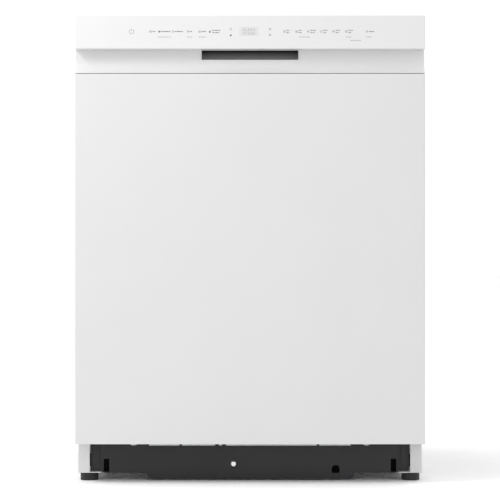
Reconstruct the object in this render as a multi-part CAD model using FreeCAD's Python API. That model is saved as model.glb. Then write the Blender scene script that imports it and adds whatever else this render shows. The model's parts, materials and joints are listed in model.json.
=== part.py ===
"""Built-in dishwasher, 24 inch class, closed door, in millimetres.

X is to the right seen from the front, Y runs from the door (-Y) to the wall (+Y), Z is up.
The origin is on the floor, under the middle of the body.
"""
import FreeCAD, Part
import math
import os
from FreeCAD import Vector

# ---------------------------------------------------------------- driving dimensions
WIDTH = 606.0               # door and console
DEPTH = 625.0               # door face to the back of the base
HEIGHT = 812.0              # floor to the top of the console

door_thickness = 50.5       # outer face to inner face
door_bottom = 70.0          # height of the door's lower edge
door_sheet = 1.2
hinge_setback = 22.5        # hinge axis behind the door's outer face
hinge_height = 100.0
hinge_pin_r = 4.0
running_gap = 0.05          # radial clearance of every running fit

console_height = 58.0
console_wall = 2.5
scoop_height = 42.0         # recess between the fascia and the door panel
scoop_depth = 20.5
scoop_upright = 16.0        # straight top part of the scoop
panel_seam = 1.0            # gap between console and steel panel
pocket_half = 84.0          # finger recess, half width
pocket_rise = 27.0          # finger recess above the fascia's lower edge
pocket_reach = 22.0
pocket_wall = 1.5

tub_sheet = 1.5
tub_corner = 22.0
side_gap = 28.0             # door edge to tub cavity
top_gap = 27.0              # console top to tub cavity
rear_gap = 28.5             # back of the base to tub cavity
mouth_gap = 12.0            # inner door face to tub mouth
mouth_flange = 15.0
gasket_width = 6.0
gasket_gap = 0.3            # door face to the relaxed gasket lip
blanket = 8.0
floor_dish = 16.0           # dished tub floor below the wheel tracks
floor_margin = 2.0          # dish edge to the rear wall
wheel_track = 30.0          # width of the wheel ledges

rail_sheet = 1.5
rail_gap = 6.0              # base front behind the inner door face
rail_face = 20.0            # width of the visible leg strip
rail_bottom = 14.0
foot_r = 16.0
foot_puck = 12.0
spindle_r = 5.0
rear_foot_r = 20.0
rear_spindle_r = 6.0
rod_x = -29.0               # long adjusting rod of the rear foot
rod_z = 28.5
rod_r = 4.0
worm_r = 6.0
mesh_gap = 0.3

toe_gap = 12.0              # toe cover behind the inner door face
toe_wall = 3.0
toe_side_gap = 42.0         # door edge to toe cover edge
toe_step = 83.0             # toe cover edge to its lower middle part
toe_top_middle = 60.5

wire_r = 2.0
frame_wire_r = 3.0
rack_gap = 28.0             # rack to tub wall
rack_front_gap = 26.0       # rack to inner door face
rack_rear_gap = 22.0
lower_rack_lift = 30.0      # rack frame above the wheel track
wheel_r = 16.0
wheel_axle_r = 3.95
upper_rack_share = 0.46     # share of the cavity height below the upper rack
upper_rack_height = 145.0
rack_clear = 112.0          # lower rack rim to upper rack frame
tine_height = 76.0
roller_r = 8.9
roller_axle_r = 2.95
track_sheet = 1.5

arm_thick = 12.0
arm_wall_gap = 40.0         # spray arm tip to tub side wall

# ---------------------------------------------------------------- derived places
half = WIDTH / 2
front = -DEPTH / 2
back = DEPTH / 2
inner_face = front + door_thickness
side_back = inner_face - 18.0            # rear edge of the door's outer sides
hinge_y = front + hinge_setback
hinge_reach = inner_face - hinge_y
mouth = inner_face + mouth_gap
ledge = hinge_height + hinge_reach
tub_half = half - side_gap
tub_top = HEIGHT - top_gap
tub_back = back - rear_gap
dish = ledge - floor_dish
centre_y = (mouth + tub_back) / 2
base_half = half - 1.0
base_front = inner_face + rail_gap
scoop_top = HEIGHT - console_height
scoop_bottom = scoop_top - scoop_height
scoop_y = front + scoop_depth
toe_y = inner_face + toe_gap
toe_half = half - toe_side_gap
toe_mid = toe_half - toe_step
foot_x = base_half - 18.0
foot_y = base_front + 20.0
rear_foot_y = back - 50.5
rack_half = tub_half - rack_gap
rack_front = inner_face + rack_front_gap
rack_back = tub_back - rack_rear_gap
lower_z = ledge + lower_rack_lift
upper_z = ledge + upper_rack_share * (tub_top - ledge)
lower_rim = upper_z - rack_clear
upper_rim = upper_z + upper_rack_height
track_z = upper_z + 90.0
arm_r = min(tub_half - arm_wall_gap, (tub_back - mouth) / 2 - 32.0)

X, Y, Z = Vector(1, 0, 0), Vector(0, 1, 0), Vector(0, 0, 1)
SIDES = (-1, 1)


# ---------------------------------------------------------------- shape helpers
def box(x0, x1, y0, y1, z0, z1):
    corner = Vector(min(x0, x1), min(y0, y1), min(z0, z1))
    return Part.makeBox(abs(x1 - x0), abs(y1 - y0), abs(z1 - z0), corner)


def rod(start, end, r):
    span = end - start
    return Part.makeCylinder(r, span.Length, start, span)


def ring(start, end, r, bore):
    return rod(start, end, r).cut(rod(start, end, bore))


def fuse(shapes):
    shapes = list(shapes)
    return shapes[0].multiFuse(shapes[1:]).removeSplitter() if len(shapes) > 1 else shapes[0]


def cut(shape, *tools):
    for tool in tools:
        shape = shape.cut(tool)
    return shape


def outline(start, *steps):
    """Closed face from a start point and steps: a point, or (via, end) for an arc."""
    edges, here = [], start
    for step in steps:
        if isinstance(step, tuple):
            edges.append(Part.Arc(here, step[0], step[1]).toShape())
            here = step[1]
        else:
            edges.append(Part.makeLine(here, step))
            here = step
    if (here - start).Length > 1e-6:
        edges.append(Part.makeLine(here, start))
    return Part.Face(Part.Wire(edges))


def slab_x(points, x0, x1):
    """Polygon of (y, z) points carried from x0 to x1."""
    return outline(*[Vector(x0, y, z) for y, z in points]).extrude(X * (x1 - x0))


def slab_y(points, y0, y1):
    """Polygon of (x, z) points carried from y0 to y1."""
    return outline(*[Vector(x, y0, z) for x, z in points]).extrude(Y * (y1 - y0))


def slab_z(points, z0, z1):
    """Polygon of (x, y) points carried from z0 to z1."""
    return outline(*[Vector(x, y, z0) for x, y in points]).extrude(Z * (z1 - z0))


def arch(half_width, top, bottom, corner, y0, y1):
    """Upright block with rounded top corners, seen from the front."""
    k = corner * (1 - math.sqrt(0.5))
    w, t = half_width, top
    face = outline(
        Vector(-w, y0, bottom), Vector(-w, y0, t - corner),
        (Vector(-w + k, y0, t - k), Vector(-w + corner, y0, t)),
        Vector(w - corner, y0, t),
        (Vector(w - k, y0, t - k), Vector(w, y0, t - corner)),
        Vector(w, y0, bottom))
    return face.extrude(Y * (y1 - y0))


def rounded_box(x0, x1, y0, y1, z0, z1, r, axis):
    """Box with the four edges along one axis rounded."""
    body = box(x0, x1, y0, y1, z0, z1)
    edges = [e for e in body.Edges if abs(e.tangentAt(e.FirstParameter).dot(axis)) > 0.99]
    return body.makeFillet(r, edges)


def save(name, *shapes):
    shape = shapes[0] if len(shapes) == 1 else Part.makeCompound(list(shapes))
    if not shape.isValid() or not shape.Solids:
        raise ValueError(name + " is not a valid solid")
    shape.exportStep("parts/" + name + ".step")


def hinge_point(dy, dz):
    return hinge_y + dy, hinge_height + dz


# ---------------------------------------------------------------- door
pan_wide = half - console_wall          # inner pan, above the hinges
pan_narrow = tub_half + 7.8             # inner pan, beside the hinges
pan_bottom = door_bottom + 14.0
seal_half = tub_half - wheel_track      # clear of the rack wheels that roll onto the open door
pan_top = HEIGHT - 4.0
pan_step_z = ledge + 22.0
latch_z = HEIGHT - 9.0
strike_half = 12.0
strike_r = 2.5
strike_y = inner_face - 14.0
arm_x0, arm_x1 = pan_narrow + 0.2, pan_narrow + 4.2
lever_tail = 10.0           # cord's eye behind the inner door face
lever_dy, lever_dz = hinge_reach + lever_tail, -10.0
lever_eye = 5.0
dispenser_half = 80.0
dispenser_low = lower_rim + 8.0
dispenser_high = dispenser_low + 70.0
dispenser_face = inner_face + 6.0


def make_outer_door_panel():
    t = door_sheet
    top = scoop_bottom - panel_seam
    shell = box(-half, half, front, side_back, door_bottom, top)
    edges = [e for e in shell.Edges
             if abs(e.BoundBox.YMin - front) < 1e-6 and abs(e.BoundBox.YMax - front) < 1e-6
             and e.BoundBox.ZLength > 1]
    shell = shell.makeFillet(2.0, edges)
    hollow = box(-half + t, half - t, front + t, side_back + 1, door_bottom + t, top - t)
    top_slot = box(-half + t, half - t, front + 14, side_back + 1, top - t - 1, top + 1)
    ends = [box(s * pan_narrow, s * (half - t), front + 9.5, side_back + 1,
                door_bottom - 1, door_bottom + t + 1) for s in SIDES]
    save("outer_door_panel", cut(shell, hollow, top_slot, *ends))


def console_profile(offset):
    """Side outline of the console; offset moves every wall inwards."""
    rise = scoop_height - scoop_upright
    big = (scoop_depth ** 2 + rise ** 2) / (2 * scoop_depth)
    bend_z = scoop_top - scoop_upright
    centre = scoop_y - big
    r = big + offset
    reach = math.asin(min(rise / r, 1.0)) if offset else 2 * math.atan(scoop_depth / rise)
    end_y, end_z = centre + r * math.cos(reach), bend_z - r * math.sin(reach)
    via = (centre + r * math.cos(reach / 2), bend_z - r * math.sin(reach / 2))
    return (end_y, end_z), via, (scoop_y + offset, bend_z)


def make_control_console():
    w = console_wall
    (ey, ez), (vy, vz), (by, bz) = console_profile(0.0)
    x = -half
    rear = inner_face
    body = outline(
        Vector(x, ey, ez), (Vector(x, vy, vz), Vector(x, by, bz)), Vector(x, scoop_y, scoop_top),
        Vector(x, front, scoop_top), Vector(x, front, HEIGHT), Vector(x, rear, HEIGHT),
        Vector(x, rear, ez)).extrude(X * WIDTH)
    edges = [e for e in body.Edges
             if abs(e.BoundBox.YMin - front) < 1e-4 and abs(e.BoundBox.YMax - front) < 1e-4
             and e.BoundBox.ZMin > scoop_top - 1]
    body = body.makeFillet(1.6, edges)
    (ey, ez), (vy, vz), (by, bz) = console_profile(w)
    x = -half + w
    inner = outline(
        Vector(x, ey, ez - 1), Vector(x, ey, ez), (Vector(x, vy, vz), Vector(x, by, bz)),
        Vector(x, scoop_y + w, scoop_top + w), Vector(x, front + w, scoop_top + w),
        Vector(x, front + w, HEIGHT - w), Vector(x, rear + 1, HEIGHT - w),
        Vector(x, rear + 1, ez - 1)).extrude(X * (WIDTH - 2 * w))
    shell = cut(body, inner)
    for s in SIDES:
        shell = cut(shell, box(s * (half - w - 0.01), s * (half + 1), side_back, rear + 1,
                               ez - 1, HEIGHT - w))
    mouth_low = scoop_top - scoop_upright - 1.0
    mouth_hole = box(-pocket_half, pocket_half, scoop_y - 1, scoop_y + w + 1, mouth_low, scoop_top - 0.5)
    lens = box(-17.8, 14.2, front - 1, front + w + 1, HEIGHT - 35, HEIGHT - 20.5)
    beads = []
    for s in SIDES:
        at = Vector(s * (pocket_half + 1.6), scoop_y, mouth_low)
        beads.append(rod(at, at + Z * (scoop_upright + 1.5), 1.2))
    save("control_console", fuse([cut(shell, mouth_hole, lens)] + beads))
    lens_fit = box(-17.7, 14.1, front + 0.1, front + w, HEIGHT - 34.9, HEIGHT - 20.6)
    save("display_lens", lens_fit)


def pocket_section(grow, y_front):
    """Side outline of the finger recess, as points and one arc."""
    low = scoop_top - scoop_upright - 1.0 - grow
    rear = scoop_y + console_wall + pocket_reach + grow
    top = scoop_top + pocket_rise + grow
    knee = scoop_top + 6.0
    half_knee = (knee - low) / 2
    x = -pocket_half - grow
    return outline(
        Vector(x, y_front, low),
        (Vector(x, rear - 0.29 * (rear - y_front), low + 0.29 * (knee - low)), Vector(x, rear, knee)),
        Vector(x, rear, top), Vector(x, y_front, top), Vector(x, y_front, low + half_knee))


def make_handle_pocket():
    t = pocket_wall
    wall_y = scoop_y + console_wall
    outer = pocket_section(t, wall_y).extrude(X * (2 * (pocket_half + t)))
    inner = pocket_section(0.0, wall_y + t).extrude(X * (2 * pocket_half))
    mouth_cut = box(-pocket_half, pocket_half, wall_y - 1, wall_y + 2 * t,
                    scoop_top - scoop_upright - 1.0, scoop_top - 0.5)
    save("handle_pocket", cut(outer, inner, mouth_cut))


def make_inner_door_panel():
    t = door_sheet
    deep = inner_face - 35.0
    shallow = inner_face - 20.0
    low = cut(box(-pan_narrow, pan_narrow, deep, inner_face, pan_bottom, pan_step_z + t),
              box(-pan_narrow + t, pan_narrow - t, deep - 1, inner_face - t,
                  pan_bottom + t, pan_step_z + 2 * t))
    high = cut(box(-pan_wide, pan_wide, shallow, inner_face, pan_step_z, pan_top),
               box(-pan_wide + t, pan_wide - t, shallow - 1, inner_face - t, pan_step_z + t, pan_top - t),
               box(-pan_narrow + t, pan_narrow - t, shallow - 1, inner_face - t,
                   pan_step_z - 1, pan_step_z + 2 * t))
    pan = fuse([low, high])
    slot = fuse([box(-16, 16, shallow - 1, inner_face + 1, latch_z - 5, HEIGHT),
                 box(-28.2, 28.2, shallow - 1, inner_face - t, pan_top - 2 * t, HEIGHT)])
    hole = box(-dispenser_half - 0.2, dispenser_half + 0.2, inner_face - 5, inner_face + 1,
               dispenser_low - 0.2, dispenser_high + 0.2)
    save("inner_door_panel", cut(pan, slot, hole))


def make_door_trim():
    seal = slab_x([(inner_face, pan_bottom), (inner_face + 8, pan_bottom + 2),
                   (inner_face + 8, pan_bottom + 7), (inner_face, pan_bottom + 10)],
                  -seal_half, seal_half)
    save("door_bottom_seal", seal)
    module = rounded_box(-150, 150, front + console_wall + 0.5, scoop_y - 2, scoop_top + 3,
                         HEIGHT - 6, 3, Y)
    save("control_module", module)
    heads = []
    rows = 6
    for s in SIDES:
        for i in range(rows):
            z = pan_step_z + 50 + i * (pan_top - 80 - pan_step_z - 50) / (rows - 1)
            at = Vector(s * (pan_wide - 8), inner_face, z)
            heads.append(rod(at, at + Y * 2.2, 4.2))
    save("door_screws", *heads)


def make_hinge_arms():
    """Door levers: a bore on the pin, a bar up the door's side and a tail for the cord."""
    def arm(s):
        x0, x1 = s * arm_x0, s * arm_x1
        boss = rod(Vector(x0, hinge_y, hinge_height), Vector(x1, hinge_y, hinge_height), 12)
        bar = box(x0, x1, hinge_y - 10, hinge_y + 7.5, hinge_height, hinge_height + 230)
        ty, tz = hinge_point(lever_dy, lever_dz)
        tail = slab_x([(hinge_y - 4, hinge_height + 11), (ty + 1, tz + lever_eye),
                       (ty - 1, tz - lever_eye), (hinge_y - 6, hinge_height - 10)], x0, x1)
        eye = rod(Vector(x0, ty, tz), Vector(x1, ty, tz), lever_eye)
        bore = rod(Vector(x0 - s, hinge_y, hinge_height), Vector(x1 + s, hinge_y, hinge_height),
                   hinge_pin_r + running_gap)
        flange = box(x1, s * (pan_wide - 2), inner_face - door_sheet - 13,
                     inner_face - door_sheet, pan_step_z + 20, hinge_height + 230)
        foot = box(x0, x1, hinge_y + 7.5, inner_face - door_sheet, pan_step_z + 20, hinge_height + 230)
        eye_hole = rod(Vector(x0 - s, ty, tz), Vector(x1 + s, ty, tz), 1.6)
        thin = box(x1, s * (pan_wide - 2), inner_face - door_sheet - 14,
                   inner_face - door_sheet - 2, pan_step_z + 19, hinge_height + 231)
        return cut(fuse([boss, bar, tail, eye, foot, cut(flange, thin)]), bore, eye_hole)
    save("hinge_arms", arm(-1), arm(1))


def make_latch():
    y0, y1 = inner_face - 29, inner_face - door_sheet
    pin_y, pin_z = inner_face - 23, latch_z - 10
    body = box(-28, 28, y0, y1, latch_z - 20, HEIGHT - 3)
    hook_room = box(-6, 6, y0 + 1.5, y1 + 1, latch_z - 18, HEIGHT - 5)
    strike_room = box(-17, 17, y0 + 11, y1 + 1, latch_z - 6, HEIGHT)
    pin = rod(Vector(-7, pin_y, pin_z), Vector(7, pin_y, pin_z), 1.6)
    save("latch_body", fuse([cut(body, hook_room, strike_room), pin]))
    nose = strike_y + strike_r + 1.2
    hook = slab_x([(pin_y, pin_z - 4), (nose + 4, pin_z - 0.5), (nose + 4, latch_z + 1),
                   (nose, latch_z + 1), (nose, latch_z - strike_r - 2.3),
                   (pin_y, latch_z - strike_r - 2.3)], -4.5, 4.5)
    boss = rod(Vector(-4.5, pin_y, pin_z), Vector(4.5, pin_y, pin_z), 4)
    bore = rod(Vector(-6, pin_y, pin_z), Vector(6, pin_y, pin_z), 1.6 + running_gap)
    save("latch_hook", cut(fuse([hook, boss]), bore))
    legs = [rod(Vector(s * strike_half, mouth, latch_z), Vector(s * strike_half, strike_y, latch_z),
                strike_r) for s in SIDES]
    bar = rod(Vector(-strike_half, strike_y, latch_z), Vector(strike_half, strike_y, latch_z), strike_r)
    balls = [Part.makeSphere(strike_r, Vector(s * strike_half, strike_y, latch_z)) for s in SIDES]
    plate = box(-22, 22, mouth - 1.5, mouth, latch_z - 2.9, latch_z + 4)
    save("latch_strike", fuse(legs + balls + [bar, plate]))


def make_dispenser():
    z0, z1, face = dispenser_low, dispenser_high, dispenser_face
    cup = box(-70, -8, face - 29, face + 1, z0 + 8, z1 - 8)
    cap_x, cap_z = 42.0, (z0 + z1) / 2
    axis_x, axis_y = -75.0, face + 3.5
    bore = rod(Vector(cap_x, face - 18, cap_z), Vector(cap_x, face + 1, cap_z), 12 + running_gap)
    body = cut(box(-dispenser_half, dispenser_half, face - 44, face, z0, z1), cup, bore)
    ears = [box(axis_x - 3.5, axis_x + 3, face, face + 6.5, z, z + 4) for z in (z0 + 0.5, z1 - 4.5)]
    pin = rod(Vector(axis_x, axis_y, z0 + 3), Vector(axis_x, axis_y, z1 - 3), 1.5)
    save("dispenser_body", fuse([body, pin] + ears))
    barrel = rod(Vector(axis_x, axis_y, z0 + 5), Vector(axis_x, axis_y, z1 - 5), 3)
    plate = box(axis_x + 1, -4, face + 0.4, face + 3.2, z0 + 4.9, z1 - 4.9)
    pin_bore = rod(Vector(axis_x, axis_y, z0), Vector(axis_x, axis_y, z1), 1.5 + running_gap)
    grip = box(-14, -9, face + 3.2, face + 5.2, cap_z - 12, cap_z + 12)
    save("detergent_lid", cut(fuse([plate, barrel, grip]), pin_bore))
    disc = rod(Vector(cap_x, face + 0.3, cap_z), Vector(cap_x, face + 4.3, cap_z), 19)
    stem = rod(Vector(cap_x, face - 16, cap_z), Vector(cap_x, face + 0.3, cap_z), 12)
    wing = box(cap_x - 16, cap_x + 16, face + 4.3, face + 8, cap_z - 2.5, cap_z + 2.5)
    save("rinse_aid_cap", fuse([disc, stem, wing]))


# ---------------------------------------------------------------- tub
sump_half = 76.0
sump_front = centre_y - 43.0
sump_back = centre_y + 149.0
sump_flange = 12.0
sump_bottom = 44.0
hub_r = 14.0
filter_y = centre_y + 95.0
filter_r = 34.0
arm_low = ledge + 3.0
float_x = -tub_half + 85.0
float_y = mouth + 70.0
float_r = 16.0
float_stem_r = 4.0
air_low = ledge + 182.0
air_high = air_low + 240.0
feed_r = 7.0
feed_y = tub_back - 10.0
feed_top = tub_top - 17.0
stub_r = 9.0
pump_y = centre_y + 48.0
pump_z = 70.0
pump_r = 34.0
spigot_r = 10.5
spigot_x = -sump_half - 18.0             # drain spigot
spigot_start = centre_y + 24.0
spigot_end = spigot_start + 36.0
drain_volute = 30.0
inlet_r = 13.2
conduit_r = 11.1


def make_tub():
    t = tub_sheet
    outer_half, outer_top = tub_half + t, tub_top + t
    wrap = cut(arch(outer_half, outer_top, ledge - 10, tub_corner + t, mouth + t, tub_back + t),
               arch(tub_half, tub_top, ledge - 11, tub_corner, mouth, tub_back + t + 1))
    flange = cut(arch(tub_half + mouth_flange, tub_top + mouth_flange, ledge - 2, 3.0, mouth, mouth + t),
                 arch(tub_half, tub_top, ledge - 11, tub_corner, mouth - 1, mouth + t + 1))
    rear = arch(tub_half, tub_top, dish, tub_corner, tub_back, tub_back + t)
    beads = []
    bead_half = tub_half - 80
    for share in (0.25, 0.5, 0.75):
        z = dish + share * (tub_top - dish)
        a, b = Vector(-bead_half, tub_back + t, z), Vector(bead_half, tub_back + t, z)
        beads += [rod(a, b, 5), Part.makeSphere(5, a), Part.makeSphere(5, b)]
    keep = box(-half, half, tub_back + 0.1, back, 0, HEIGHT)
    save("tub_shell", fuse([wrap, flange]), fuse([rear] + [b.common(keep) for b in beads]))
    g0, g1 = t, t + gasket_width
    gasket = cut(arch(tub_half + g1, tub_top + g1, ledge - 2, tub_corner + g1,
                      inner_face + gasket_gap, mouth),
                 arch(tub_half + g0, tub_top + g0, ledge - 3, tub_corner + g0, inner_face, mouth + 1))
    save("tub_gasket", gasket)


def make_tub_floor():
    """Pressed floor: wheel ledges and front sill round a dished middle, with a hem to the base."""
    t = tub_sheet
    inner = tub_half - wheel_track
    sill = mouth + 25.0
    ledges = cut(box(-tub_half, tub_half, mouth, tub_back, ledge - t, ledge),
                 box(-inner, inner, sill, tub_back - floor_margin, ledge - t - 1, ledge + 1))
    wall = cut(box(-inner - t, inner + t, sill - t, tub_back - floor_margin + t, dish - t, ledge - t),
               box(-inner, inner, sill, tub_back - floor_margin, dish - t - 1, ledge))
    floor = box(-inner - t, inner + t, sill - t, tub_back - floor_margin + t, dish - t, dish)
    lip = box(-tub_half, tub_half, mouth, mouth + t, hinge_height, ledge - t)
    hem = [box(s * tub_half, s * (tub_half - t), mouth, tub_back, dish - t, ledge) for s in SIDES]
    hole = rounded_box(-sump_half + 2, sump_half - 2, sump_front + 2, sump_back - 2,
                       dish - 2 * t, dish + 1, 18, Z)
    stem = rod(Vector(float_x, float_y, dish - 9), Vector(float_x, float_y, dish), float_stem_r + 4)
    bore = rod(Vector(float_x, float_y, dish - 10), Vector(float_x, float_y, dish + 3),
               float_stem_r + running_gap)
    shell = fuse([ledges, wall, floor, lip] + hem + [stem])
    save("tub_floor", cut(shell, hole, bore))


def make_insulation():
    t = tub_sheet + 0.2
    y0, y1 = mouth + tub_sheet + 0.3, tub_back + tub_sheet
    outer = arch(tub_half + t + blanket, tub_top + t + blanket, ledge + 2, tub_corner + t + blanket, y0, y1)
    inner = arch(tub_half + t, tub_top + t, ledge, tub_corner + t, y0 - 1, y1 + 1)
    window = box(-half, -tub_half, centre_y - 97, centre_y + 103, air_low - 18, air_high + 10)
    save("insulation_blanket", cut(outer, inner, window))


def make_air_break():
    """Clear water guide on the left side wall, with its two hose spigots."""
    x0, x1 = -tub_half - tub_sheet - 20.5, -tub_half - tub_sheet
    y0, y1 = centre_y - 87, centre_y + 93
    body = rounded_box(x0, x1, y0, y1, air_low, air_high, 14, X)
    ribs = []
    for i in range(3):
        y = y0 + 40 + 45 * i
        gap = 22.0
        low, high = (air_low + gap, air_high - 8) if i % 2 else (air_low + 8, air_high - gap)
        ribs.append(box(x0 - 2, x0 + 1, y, y + 5, low, high))
    mid = (x0 + x1) / 2
    spigots = [ring(Vector(mid, y, air_low - 16), Vector(mid, y, air_low + 2), 8, 5.5)
               for y in (y0 + 35, y1 - 35)]
    bores = [rod(Vector(mid, y, air_low - 17), Vector(mid, y, air_low + 12), 5.5)
             for y in (y0 + 35, y1 - 35)]
    save("air_break", cut(fuse([body] + ribs + spigots), *bores))


# ---------------------------------------------------------------- base and frame
bracket_x0, bracket_x1 = arm_x1 + 3.8, arm_x1 + 6.8
pulley_r = 8.0
cord_r = 1.2
cord_x = (arm_x0 + arm_x1) / 2
tail_y, tail_z = hinge_point(lever_dy, lever_dz)
pulley_y = tail_y + 14.0
pulley_z = tail_z - 26.0
spring_z = pulley_z - pulley_r
hook_y = pulley_y + 78.0
spring_r = 7.0
spring_gap = 4.5            # coil to the rail wall
spring_x = base_half - rail_sheet - spring_r - spring_gap
cord_clear = 8.0            # cord to the crossmember above it
spring_wire = 1.4
spring_start = hook_y + 14.0
spring_length = 180.0
spring_pitch = 6.0
spring_anchor = spring_start + spring_length + 12.0
rail_top = dish
flange_top = door_bottom + 2.0
tab_x = half - 93.0
tab_pitch = 24.0
tab_hole_r = 2.5
side_hole_z = ledge + 172.0
side_hole_pitch = 340.0
side_hole_r = 2.5
hose_pass_x0, hose_pass_x1 = 70.0, 242.0     # openings for hoses and cable in the rear crossmember
hose_pass_low, hose_pass_high = 32.0, 80.0


def make_base_side(s, name):
    t = rail_sheet
    outer = s * base_half
    wall = box(outer, s * (base_half - t), base_front, back, rail_bottom, rail_top)
    face = box(outer, s * (base_half - rail_face), base_front, base_front + t, rail_bottom, flange_top)
    sole = box(outer, s * (base_half - 40), base_front, back, rail_bottom, rail_bottom + t)
    top = box(outer, s * (tub_half - 10), base_front + 16, back, rail_top - 2 * t, rail_top - t)
    nose = box(s * (base_half - t - 1), s * (base_half + 1), base_front - 1, base_front + 4,
               flange_top, rail_top + 1)
    nut = rod(Vector(s * foot_x, foot_y, rail_bottom), Vector(s * foot_x, foot_y, rail_bottom + 10),
              spindle_r + 5)
    bore = rod(Vector(s * foot_x, foot_y, 0), Vector(s * foot_x, foot_y, rail_bottom + 11),
               spindle_r + running_gap)
    windows = []
    for y in (base_front + 150, base_front + 300, base_front + 450):
        windows.append(rounded_box(s * (base_half - 2 * t), s * (base_half + 1), y - 40, y + 40,
                                   rail_bottom + 26, rail_top - 26, 18, X))
    anchor = box(s * (base_half - t), s * (spring_x - 4), spring_anchor, spring_anchor + 3,
                 rail_bottom + t, spring_z + 8)
    eye = rod(Vector(s * spring_x, spring_anchor - 1, spring_z),
              Vector(s * spring_x, spring_anchor + 4, spring_z), spring_wire + 0.4)
    pulley_pin = rod(Vector(s * (base_half - t), pulley_y, pulley_z),
                     Vector(s * (cord_x - 3.5), pulley_y, pulley_z), 2.5)
    slot = box(s * (base_half - 30), s * (base_half - 12), spring_anchor - 1, spring_anchor + 4,
               rail_bottom + 4, rail_bottom + 10)
    shell = cut(fuse([wall, face, sole, top, nut, anchor, pulley_pin]), nose, bore, eye, slot, *windows)
    save(name, shell)


def make_crossmembers():
    t = rail_sheet
    y0 = toe_y + toe_wall + 1.0
    x = tub_half + 3
    low, high = door_bottom - 10, door_bottom + 22
    web = box(-x, x, y0, y0 + t, low, high)
    top = box(-x, x, y0, y0 + 18, high - t, high)
    sole = box(-x, x, y0, y0 + 18, low, low + t)
    tabs = [box(s * (x - 14), s * (base_half - t), y0 + 18, y0 + 18 + t, spring_z + cord_clear, high)
            for s in SIDES]
    sole_tabs = [box(s * (x - 14), s * x, y0, y0 + 18 + t, low + 4, high) for s in SIDES]
    sole_tabs = [cut(b, box(s * (x - 12.5), s * (x + 1), y0 + t, y0 + 18, 0, high - t))
                 for b, s in zip(sole_tabs, SIDES)]
    save("front_crossmember", fuse([web, top, sole] + tabs + sole_tabs))
    inner = base_half - t
    rear_web = box(-inner, inner, back - t, back, rail_bottom + t, rail_top - 3 * t)
    rear_sole = box(-inner, inner, rear_foot_y - 24, back, rail_bottom + t, rail_bottom + 2 * t)
    boss = rod(Vector(0, rear_foot_y, rail_bottom + t), Vector(0, rear_foot_y, rod_z - 5.5),
               rear_spindle_r + 5)
    bore = rod(Vector(0, rear_foot_y, 0), Vector(0, rear_foot_y, HEIGHT), rear_spindle_r + running_gap)
    block = box(rod_x - 8, rod_x + 8, rear_foot_y + 16, rear_foot_y + 24, rail_bottom + t, rod_z + 8)
    rod_hole = rod(Vector(rod_x, 0, rod_z), Vector(rod_x, back + 1, rod_z), rod_r + running_gap)
    slots = [rounded_box(s * hose_pass_x0, s * hose_pass_x1, back - 2 * t, back + 1, hose_pass_low,
                         hose_pass_high, 12, Y) for s in SIDES]
    save("rear_crossmember", cut(fuse([rear_web, rear_sole, boss, block]), bore, rod_hole, *slots))


def make_front_frame():
    """Posts beside the tub mouth and a top bar with the two worktop tabs."""
    t = rail_sheet
    x0, x1 = tub_half + mouth_flange, base_half - 0.5
    top = HEIGHT - 4.0
    posts = []
    for s in SIDES:
        posts.append(box(s * x0, s * x1, mouth, mouth + t, ledge - 2, top))
        posts.append(box(s * (x1 - t), s * x1, mouth, mouth + 28, rail_top, top))
    bar = box(-x1, x1, mouth, mouth + t, tub_top + mouth_flange, top)
    roof = box(-x1, x1, mouth, mouth + 35, top - t, top)
    frame = fuse(posts + [bar, roof])
    tabs, holes = [], []
    for s in SIDES:
        for i, x in enumerate((tab_x - tab_pitch / 2, tab_x + tab_pitch / 2)):
            at = Vector(s * x, mouth + 20, top - 3)
            holes.append(rod(at, at + Z * 8, tab_hole_r))
        tabs.append(box(s * (tab_x - 22), s * (tab_x + 22), mouth - 6, mouth + 34, top, top + t))
    for s in SIDES:
        for z in (side_hole_z, side_hole_z + side_hole_pitch):
            at = Vector(s * (x1 - 3), mouth + 15, z)
            holes.append(rod(at, at + X * (s * 6), side_hole_r))
    save("front_frame", cut(fuse([frame] + tabs), *holes))


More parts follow.
